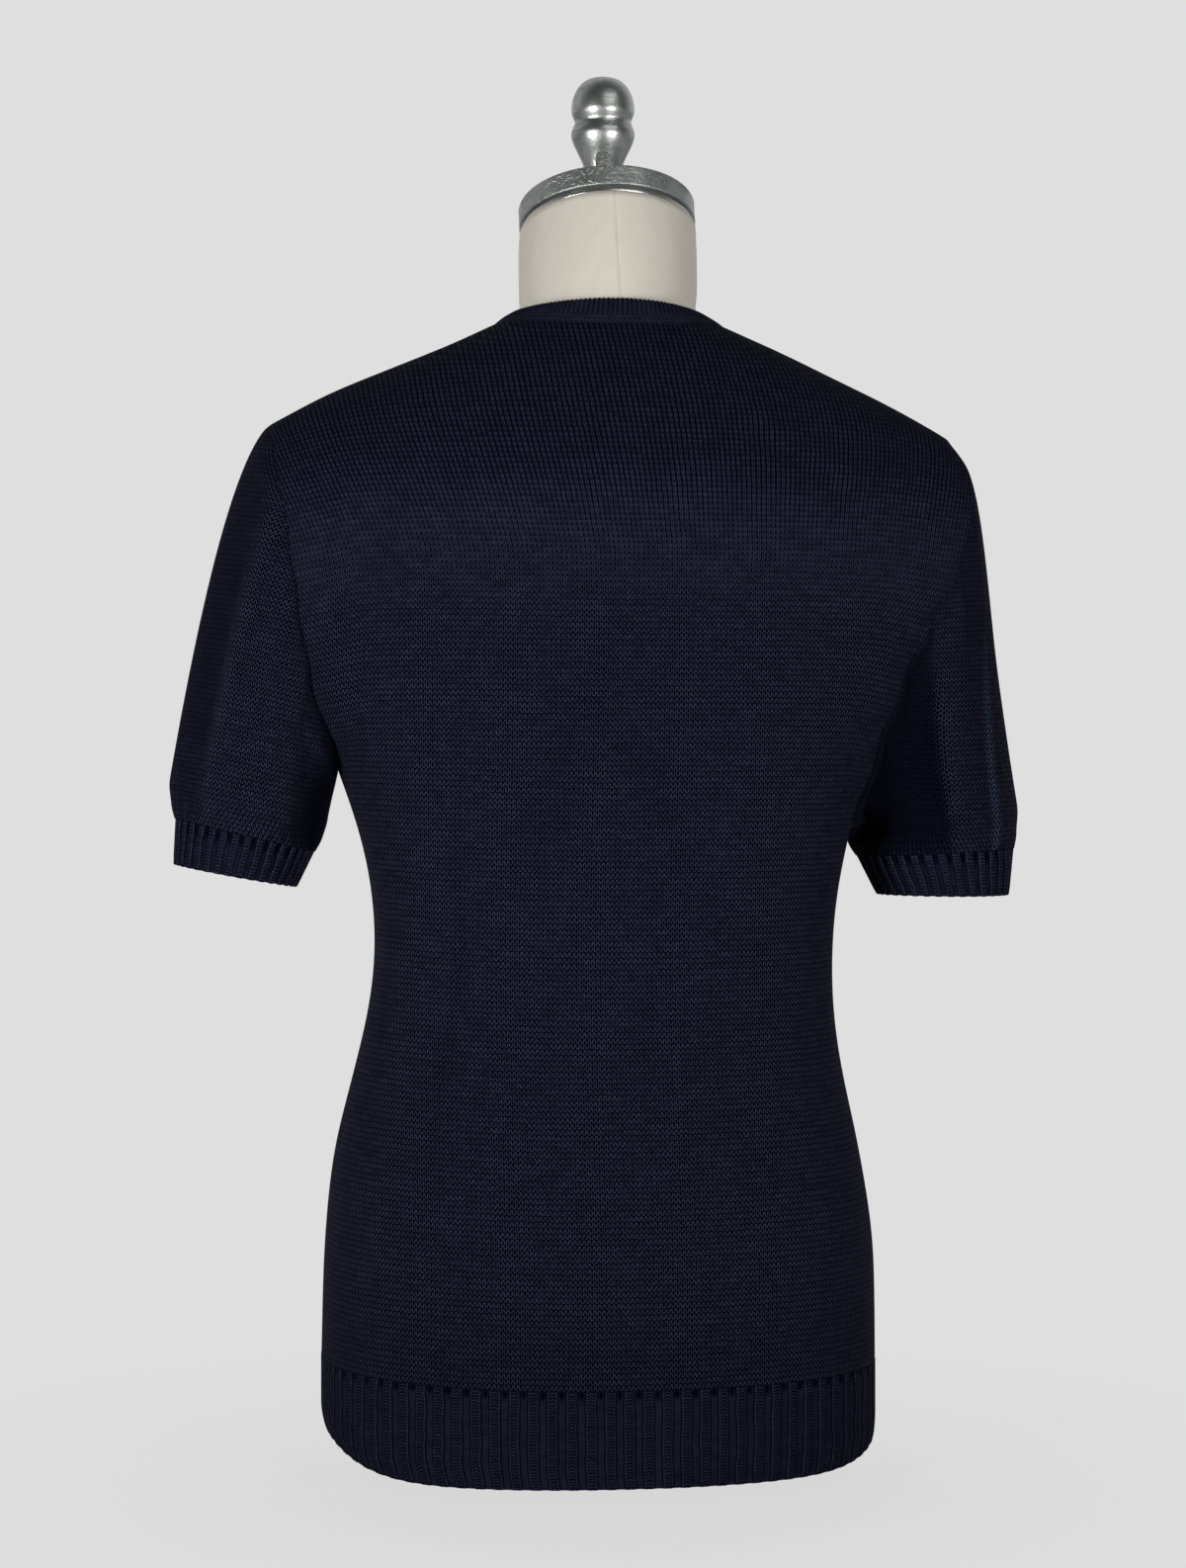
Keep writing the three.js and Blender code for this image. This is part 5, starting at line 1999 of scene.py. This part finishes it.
@dataclass
class YarnGroup(EffectGroup):
    """The yarn's own unevenness, stitch by stitch, in runs along each course."""

    name: str = "Yarn unevenness"
    inputs: dict[str, Any] = field(default_factory=lambda: {"Cell": None, "Run": 4.5})
    outputs: tuple[str, ...] = ("Tint", "Tone", "Fleck")

    def build(self) -> "YarnGroup":
        """Builds the group's nodes."""
        w, inputs, outputs = self.open()
        x, y, _ = w.split(inputs["Cell"])
        run = w.part(x, inputs["Run"])
        row = w.times(y, 7.31)
        w.put(outputs["Tint"], w.step(w.noise(w.join(run, row), 1.0, 1.0), 0.35, 0.65))
        w.put(outputs["Tone"], w.step(w.noise(w.join(run, row, 9.7), 1.7, 2.0), 0.3, 0.7))
        grain = w.node("ShaderNodeTexWhiteNoise", {0: inputs["Cell"]}).outputs[0]
        w.put(outputs["Fleck"], w.step(grain, 0.86, 1.0))
        return self


@dataclass
class WeaveGroup(EffectGroup):
    """A fine plain weave with slightly uneven threads."""

    name: str = "Fine weave"
    inputs: dict[str, Any] = field(default_factory=lambda: {"Map": None, "Thread": 0.0006})
    outputs: tuple[str, ...] = ("Height", "Mottle")

    def build(self) -> "WeaveGroup":
        """Builds the group's nodes."""
        w, inputs, outputs = self.open()
        u, v, _ = w.split(inputs["Map"])
        turns = w.part(math.pi, inputs["Thread"])
        warp = w.math("SINE", w.times(u, turns))
        weft = w.math("SINE", w.times(v, turns))
        weave = w.scale(w.times(warp, weft), 0.5, 1.0)
        slub = w.noise(inputs["Map"], 900.0, 3.0, 0.6)
        w.put(outputs["Height"], w.times(weave, w.scale(slub, 0.6, 1.0)))
        w.put(outputs["Mottle"], w.noise(inputs["Map"], 60.0, 5.0, 0.65))
        return self


@dataclass
class CastGroup(EffectGroup):
    """The skin of cast metal: fine pits, larger blotches and faint streaks."""

    name: str = "Cast skin"
    inputs: dict[str, Any] = field(default_factory=lambda: {"Place": None, "Grain": 900.0})
    outputs: tuple[str, ...] = ("Height", "Blotch", "Streak")

    def build(self) -> "CastGroup":
        """Builds the group's nodes."""
        w, inputs, outputs = self.open()
        place = inputs["Place"]
        fine = w.noise(place, inputs["Grain"], 3.0)
        pits = w.step(w.noise(place, 420.0, 2.0), 0.36, 0.52)
        w.put(outputs["Height"], w.times(w.scale(fine, 0.4, 1.0), pits))
        w.put(outputs["Blotch"], w.step(w.noise(place, 55.0, 4.0, 0.6), 0.35, 0.68))
        x, y, z = w.split(place)
        stretched = w.join(x, y, w.times(z, 9.0))
        w.put(outputs["Streak"], w.step(w.noise(stretched, 70.0, 3.0, 0.6), 0.3, 0.75))
        return self


@dataclass(frozen=True)
class Effects:
    """The node groups that the finishes share."""

    stockinette: StockinetteGroup
    rib: RibGroup
    linked: LinkedRibGroup
    yarn: YarnGroup
    weave: WeaveGroup
    cast: CastGroup

    @classmethod
    def build(cls) -> "Effects":
        """Builds every group once."""
        kinds = (StockinetteGroup, RibGroup, LinkedRibGroup, YarnGroup, WeaveGroup, CastGroup)
        return cls(*(kind().build() for kind in kinds))


def new_material(name: str) -> tuple[bpy.types.Material, Wiring, Any]:
    """An empty material with a surface shader joined to its output.

    Args:
        name: Its name.

    Returns:
        The material, its wiring and the shader.
    """
    made = bpy.data.materials.new(name)
    made.use_nodes = True
    wiring = Wiring(made.node_tree)
    shader = wiring.node("ShaderNodeBsdfPrincipled")
    wiring.node("ShaderNodeOutputMaterial", {"Surface": shader.outputs[0]})
    return made, wiring, shader


Colour = tuple[float, float, float, float]


@dataclass(frozen=True)
class Knit:
    """Navy yarn, knitted plain or in a rib, whose wales may part between two heights."""

    name: str
    parting: tuple[float, float] | None = None
    # The near-black painted shade that fills the low parts of the knit relief.
    dark: Colour = (0.0001, 0.0001, 0.0045, 1)
    green: Colour = (0.0505, 0.0605, 0.1020, 1)
    plum: Colour = (0.0550, 0.0580, 0.1020, 1)
    fleck: Colour = (0.070, 0.075, 0.115, 1)
    # The pale blue laid on as a painted sheen highlight where the painted-light value is above 0.
    painted_sheen: Colour = (0.085, 0.125, 0.200, 1)
    relief: float = 0.0009
    strength: float = 1.0
    tones: tuple[float, float] = (0.80, 1.20)

    def dress(self, effects: Effects, group: EffectGroup, **sizes: Any) -> bpy.types.Material:
        """Builds the material.

        Args:
            effects: The shared node groups.
            group: The knit's own group.
            sizes: Values for that group's inputs.

        Returns:
            The material.
        """
        made, w, shader = new_material(self.name)
        place = w.node("ShaderNodeUVMap", uv_map=KNIT_MAP).outputs[0]
        if self.parting:
            sizes["Open"] = w.step(w.split(place)[1], *self.parting)
        knit = group.use(w, Map=place, **sizes)
        yarn = effects.yarn.use(w, Cell=knit["Cell"])
        colour = w.blend(yarn["Tint"], self.green, self.plum)
        colour = w.blend(w.times(yarn["Fleck"], 0.3), colour, self.fleck)
        low, high = (share * self.strength for share in self.tones)
        colour = w.tone(colour, w.scale(yarn["Tone"], low, high))
        # Painted light: a painted sheen highlight where the attribute is above 0, painted shade
        # where it is below.
        pressed = w.node("ShaderNodeAttribute", attribute_name=PAINTED_LIGHT).outputs["Fac"]
        colour = w.blend(w.times(pressed, 1.0, clamp=True), colour, self.painted_sheen)
        colour = w.tone(colour, w.plus(w.math("MINIMUM", pressed, 0.0), 1.0))
        # Painted shade: where the knit height is low, in the gaps between loops and in the rib's
        # recesses, walls and holes, the colour turns near-black.
        colour = w.blend(knit["Height"], self.dark, colour)
        w.put(shader.inputs["Base Color"], colour)
        fuzz = w.noise(place, 5000.0, 2.0)
        height = w.plus(knit["Height"], w.times(fuzz, 0.12))
        w.put(shader.inputs["Normal"], w.bump(height, self.relief))
        shader.inputs["Roughness"].default_value = 0.85
        shader.inputs["Specular IOR Level"].default_value = 0.03
        return made


@dataclass(frozen=True)
class FormCloth:
    """Cream cloth drawn tight over the form."""

    light: Colour = (0.64, 0.615, 0.55, 1)
    dark: Colour = (0.55, 0.52, 0.46, 1)
    seam: Colour = (0.50, 0.42, 0.37, 1)

    def dress(self, effects: Effects, form: DressForm) -> bpy.types.Material:
        """Builds the material.

        Args:
            effects: The shared node groups.
            form: The form, for the line of its seam.

        Returns:
            The material.
        """
        made, w, shader = new_material("Cream form cloth")
        place = w.node("ShaderNodeTexCoord").outputs["Object"]
        weave = effects.weave.use(w, Map=w.node("ShaderNodeUVMap", uv_map=KNIT_MAP).outputs[0])
        colour = w.blend(weave["Mottle"], self.light, self.dark)
        x, y, z = w.split(place)
        low, high = form.seam_low, form.seam_high
        slope = (high[0] - low[0]) / (high[1] - low[1])
        line = w.math("MULTIPLY_ADD", z, slope, (low[0] - slope * low[1]) * MM)
        near = w.bell(w.less(x, line), 0.0, 0.0008)
        behind = w.math("GREATER_THAN", y, 0.0)
        seam = w.times(w.times(near, behind), 0.35)
        w.put(shader.inputs["Base Color"], w.blend(seam, colour, self.seam))
        w.put(shader.inputs["Normal"], w.bump(weave["Height"], 0.0003, 0.7))
        shader.inputs["Roughness"].default_value = 0.9
        shader.inputs["Specular IOR Level"].default_value = 0.25
        shader.inputs["Sheen Weight"].default_value = 0.15
        return made


@dataclass(frozen=True)
class Metal:
    """Metal, cast, turned or bright."""

    name: str
    light: Colour
    dark: Colour
    rough: tuple[float, float]
    pits: float
    grain: float = 900.0

    def dress(self, effects: Effects) -> bpy.types.Material:
        """Builds the material.

        Args:
            effects: The shared node groups.

        Returns:
            The material.
        """
        made, w, shader = new_material(self.name)
        place = w.node("ShaderNodeTexCoord").outputs["Object"]
        cast = effects.cast.use(w, Place=place, Grain=self.grain)
        worn = w.times(cast["Blotch"], w.scale(cast["Streak"], 0.4, 1.0))
        w.put(shader.inputs["Base Color"], w.blend(worn, self.light, self.dark))
        w.put(shader.inputs["Roughness"], w.scale(worn, *self.rough))
        w.put(shader.inputs["Normal"], w.bump(cast["Height"], self.pits))
        shader.inputs["Metallic"].default_value = 1.0
        return made


@dataclass(frozen=True)
class Wood:
    """Dark stained wood with a straight grain."""

    light: Colour = (0.11, 0.055, 0.028, 1)
    dark: Colour = (0.045, 0.020, 0.010, 1)

    def dress(self) -> bpy.types.Material:
        """Builds the material."""
        made, w, shader = new_material("Stained wood")
        x, y, z = w.split(w.node("ShaderNodeTexCoord").outputs["Object"])
        along = w.join(w.times(x, 0.06), y, z)
        grain = w.noise(along, 260.0, 5.0, 0.6)
        w.put(shader.inputs["Base Color"], w.blend(grain, self.light, self.dark))
        w.put(shader.inputs["Roughness"], w.scale(grain, 0.35, 0.6))
        w.put(shader.inputs["Normal"], w.bump(grain, 0.0003, 0.4))
        return made


# ---- studio
@dataclass(frozen=True)
class Softbox:
    """One soft light, placed round the object from the camera's own direction."""

    name: str
    turn: float
    away: float
    height: float
    width: float
    tall: float
    power: float
    spread: float = 180.0
    glints: bool = True
    colour: tuple[float, float, float] = (1.0, 0.985, 0.96)


@dataclass(frozen=True)
class Studio:
    """The floor, the lights, the world and the camera."""

    azimuth: float = 7.0
    distance: float = 2.3
    eye: float = 0.443
    lens: float = 81.57
    slide: float = 0.0032
    pale: float = 0.738
    aim: float = 0.45
    lights: tuple[Softbox, ...] = (
        Softbox("Left softbox", -38, 2.0, 0.36, 0.7, 0.6, 4.0, 60),
        Softbox("Right softbox", 32, 2.0, 0.36, 0.7, 0.6, 2.7, 60),
        Softbox("Top softbox", 30, 1.5, 1.8, 1.2, 0.7, 4.0),
        Softbox("Far left softbox", -158, 2.3, 1.0, 1.2, 1.6, 14, glints=False),
        Softbox("Far right softbox", 158, 2.3, 1.0, 1.2, 1.6, 14, glints=False),
    )

    def direction(self, turn: float) -> Vector:
        """The level direction from the object at an angle from the camera's, to its right."""
        angle = math.radians(self.azimuth - turn)
        return Vector((math.sin(angle), math.cos(angle), 0))

    def look(self, thing: Piece, aim: Vector) -> None:
        """Turns a light or the camera towards a point."""
        thing.rotation_euler = (aim - thing.location).to_track_quat("-Z", "Y").to_euler()

    def add_light(self, softbox: Softbox) -> None:
        """Adds one softbox.

        Args:
            softbox: The light.
        """
        data = bpy.data.lights.new(softbox.name, "AREA")
        data.shape = "RECTANGLE"
        data.size, data.size_y = softbox.width, softbox.tall
        data.energy = softbox.power
        data.spread = math.radians(softbox.spread)
        data.color = softbox.colour
        light = bpy.data.objects.new(softbox.name, data)
        light.location = self.direction(softbox.turn) * softbox.away
        light.location.z = softbox.height
        light.visible_glossy = softbox.glints
        bpy.context.scene.collection.objects.link(light)
        self.look(light, Vector((0, 0, self.aim)))

    def add_world(self) -> None:
        """A pale backdrop to the eye, and dim fill light that is stronger from behind."""
        world = bpy.data.worlds.new("Studio")
        world.use_nodes = True
        w = Wiring(world.node_tree)
        seen = w.node("ShaderNodeLightPath").outputs["Is Camera Ray"]
        place = w.node("ShaderNodeTexCoord").outputs["Generated"]
        _, y, _ = w.split(place)
        behind = w.step(y, 0.35, -0.75)
        fill = w.scale(behind, 0.05, 0.5)
        lift = w.times(seen, w.less(self.pale, fill))
        strength = w.plus(fill, lift)
        light = w.node("ShaderNodeBackground", {0: (1, 1, 1, 1), 1: strength})
        w.node("ShaderNodeOutputWorld", {0: light.outputs[0]})
        bpy.context.scene.world = world

    def add_floor(self) -> None:
        """A plain pale floor that runs into the backdrop, with a soft shadow by the foot."""
        work = bmesh.new()
        bmesh.ops.create_grid(work, x_segments=8, y_segments=8, size=14)
        mesh = bpy.data.meshes.new("floor")
        work.to_mesh(mesh)
        work.free()
        floor = bpy.data.objects.new("floor", mesh)
        bpy.context.scene.collection.objects.link(floor)
        made = bpy.data.materials.new("Pale floor")
        made.use_nodes = True
        w = Wiring(made.node_tree)
        place = w.node("ShaderNodeTexCoord").outputs["Object"]
        reach = w.node("ShaderNodeVectorMath", {0: place}, operation="LENGTH").outputs["Value"]
        pale = w.node("ShaderNodeEmission", {0: (*[self.pale] * 3, 1), 1: 1.0}).outputs[0]
        matt = w.node("ShaderNodeBsdfDiffuse", {0: (0.78, 0.78, 0.78, 1)}).outputs[0]
        seen = w.node("ShaderNodeLightPath").outputs["Is Camera Ray"]
        lit = w.times(w.step(reach, 0.6, 0.12), 0.1)
        share = w.times(w.less(1.0, lit), seen)
        mixed = w.node("ShaderNodeMixShader", {0: share, 1: matt, 2: pale})
        w.node("ShaderNodeOutputMaterial", {0: mixed.outputs[0]})
        mesh.materials.append(made)

    def add_camera(self) -> None:
        """The camera, level and behind the wearer's back."""
        data = bpy.data.cameras.new("Camera")
        data.lens = self.lens
        data.sensor_width = 36
        data.clip_end = 60
        camera = bpy.data.objects.new("Camera", data)
        toward = self.direction(0)
        left = Vector((toward.y, -toward.x, 0))
        camera.location = toward * self.distance + left * self.slide
        camera.location.z = self.eye
        camera.rotation_euler = (-toward).to_track_quat("-Z", "Y").to_euler()
        bpy.context.scene.collection.objects.link(camera)
        bpy.context.scene.camera = camera

    def build(self) -> None:
        """Sets the whole studio up."""
        self.add_world()
        self.add_floor()
        self.add_camera()
        for softbox in self.lights:
            self.add_light(softbox)
        bpy.context.scene.view_settings.view_transform = "Standard"
        bpy.context.scene.view_settings.look = "None"


# ---- sheets
@dataclass(frozen=True)
class SheetCut:
    """The flat cut of a piece of cloth, in metres, and how it is held."""

    width: float
    length: float
    held: Held
    area: float | None = None

    def declare(self, piece: Piece, rests_on: Sequence[str]) -> None:
        """Does nothing."""


CUTS = {
    "back_panel": SheetCut(0.50, 0.70, Held.DRAPED, 0.29),
    "front_panel": SheetCut(0.50, 0.66, Held.DRAPED, 0.275),
    "sleeve_left": SheetCut(0.36, 0.27, Held.DRAPED, 0.057),
    "sleeve_right": SheetCut(0.36, 0.27, Held.DRAPED, 0.057),
    "hem_rib": SheetCut(0.90, 0.066, Held.STRETCHED),
    "cuff_rib_left": SheetCut(0.30, 0.030, Held.STRETCHED),
    "cuff_rib_right": SheetCut(0.30, 0.030, Held.STRETCHED),
    "neck_rib": SheetCut(0.40, 0.019, Held.STRETCHED),
}


def main() -> None:
    """Builds every piece in order, dresses it and sets up the studio."""
    logging.basicConfig(level=logging.INFO, format="%(name)s: %(message)s")
    Studio().build()
    effects = Effects.build()
    plain_knit = Knit("Plain navy knit", parting=(0.46, 0.58)).dress(
        effects, effects.stockinette, Wale=0.0031, Course=0.00355
    )
    rib_knit = Knit("Ribbed navy knit", relief=0.0006, strength=0.50).dress(
        effects, effects.rib, Course=0.0019, Hole=0.0028, Fill=0.75
    )
    cuff_knit = Knit("Ribbed navy cuff", relief=0.0005, strength=0.62).dress(
        effects, effects.rib, Course=0.0021, Hole=0.0042, Fill=0.45
    )
    neck_knit = Knit("Fine-ribbed navy knit", relief=0.0006, strength=0.56).dress(
        effects, effects.linked, Course=0.0019
    )
    form = DressForm()
    soft = (
        (BodyPanel(Face.BACK, BACK_CREASES), "back_panel", "plain_knit", plain_knit),
        (BodyPanel(Face.FRONT, FRONT_CREASES), "front_panel", "plain_knit", plain_knit),
        (Sleeve(SLEEVES[Side.LEFT]), "sleeve_left", "plain_knit", plain_knit),
        (Sleeve(SLEEVES[Side.RIGHT]), "sleeve_right", "plain_knit", plain_knit),
        (HemBand(), "hem_rib", "rib_knit", rib_knit),
        (Cuff(SLEEVES[Side.LEFT]), "cuff_rib_left", "rib_knit", cuff_knit),
        (Cuff(SLEEVES[Side.RIGHT]), "cuff_rib_right", "rib_knit", cuff_knit),
        (NeckBand(), "neck_rib", "rib_knit", neck_knit),
    )
    body = form.make()
    finish_piece(body, ["dress_form"], FormCloth().dress(effects, form))
    for builder, node, slot, dress in soft:
        piece = builder.make()
        finish_piece(piece, [node], dress)
        CUTS[node].declare(piece, [body.name])
    cast = Metal(
        "Cast grey metal", (0.50, 0.53, 0.52, 1), (0.25, 0.27, 0.27, 1), (0.40, 0.58), 0.0003
    )
    polished = Metal(
        "Polished dark metal", (0.64, 0.67, 0.66, 1), (0.30, 0.33, 0.32, 1), (0.30, 0.40), 0.00005
    )
    bright = Metal(
        "Bright metal", (0.80, 0.80, 0.78, 1), (0.60, 0.60, 0.58, 1), (0.22, 0.35), 0.00003
    )
    hard = (
        (Flange(), "neck_flange", "bright_metal", bright.dress(effects)),
        (Cap(), "neck_cap", "cast_metal", cast.dress(effects)),
        (Finial(), "finial", "polished_metal", polished.dress(effects)),
        (Lug(), "finial_lug", "cast_metal", cast.dress(effects)),
        (Foot(), "form_foot", "foot_wood", Wood().dress()),
    )
    for builder, node, slot, dress in hard:
        finish_piece(builder.make(), [node], dress)


if __name__ == "__main__":
    main()
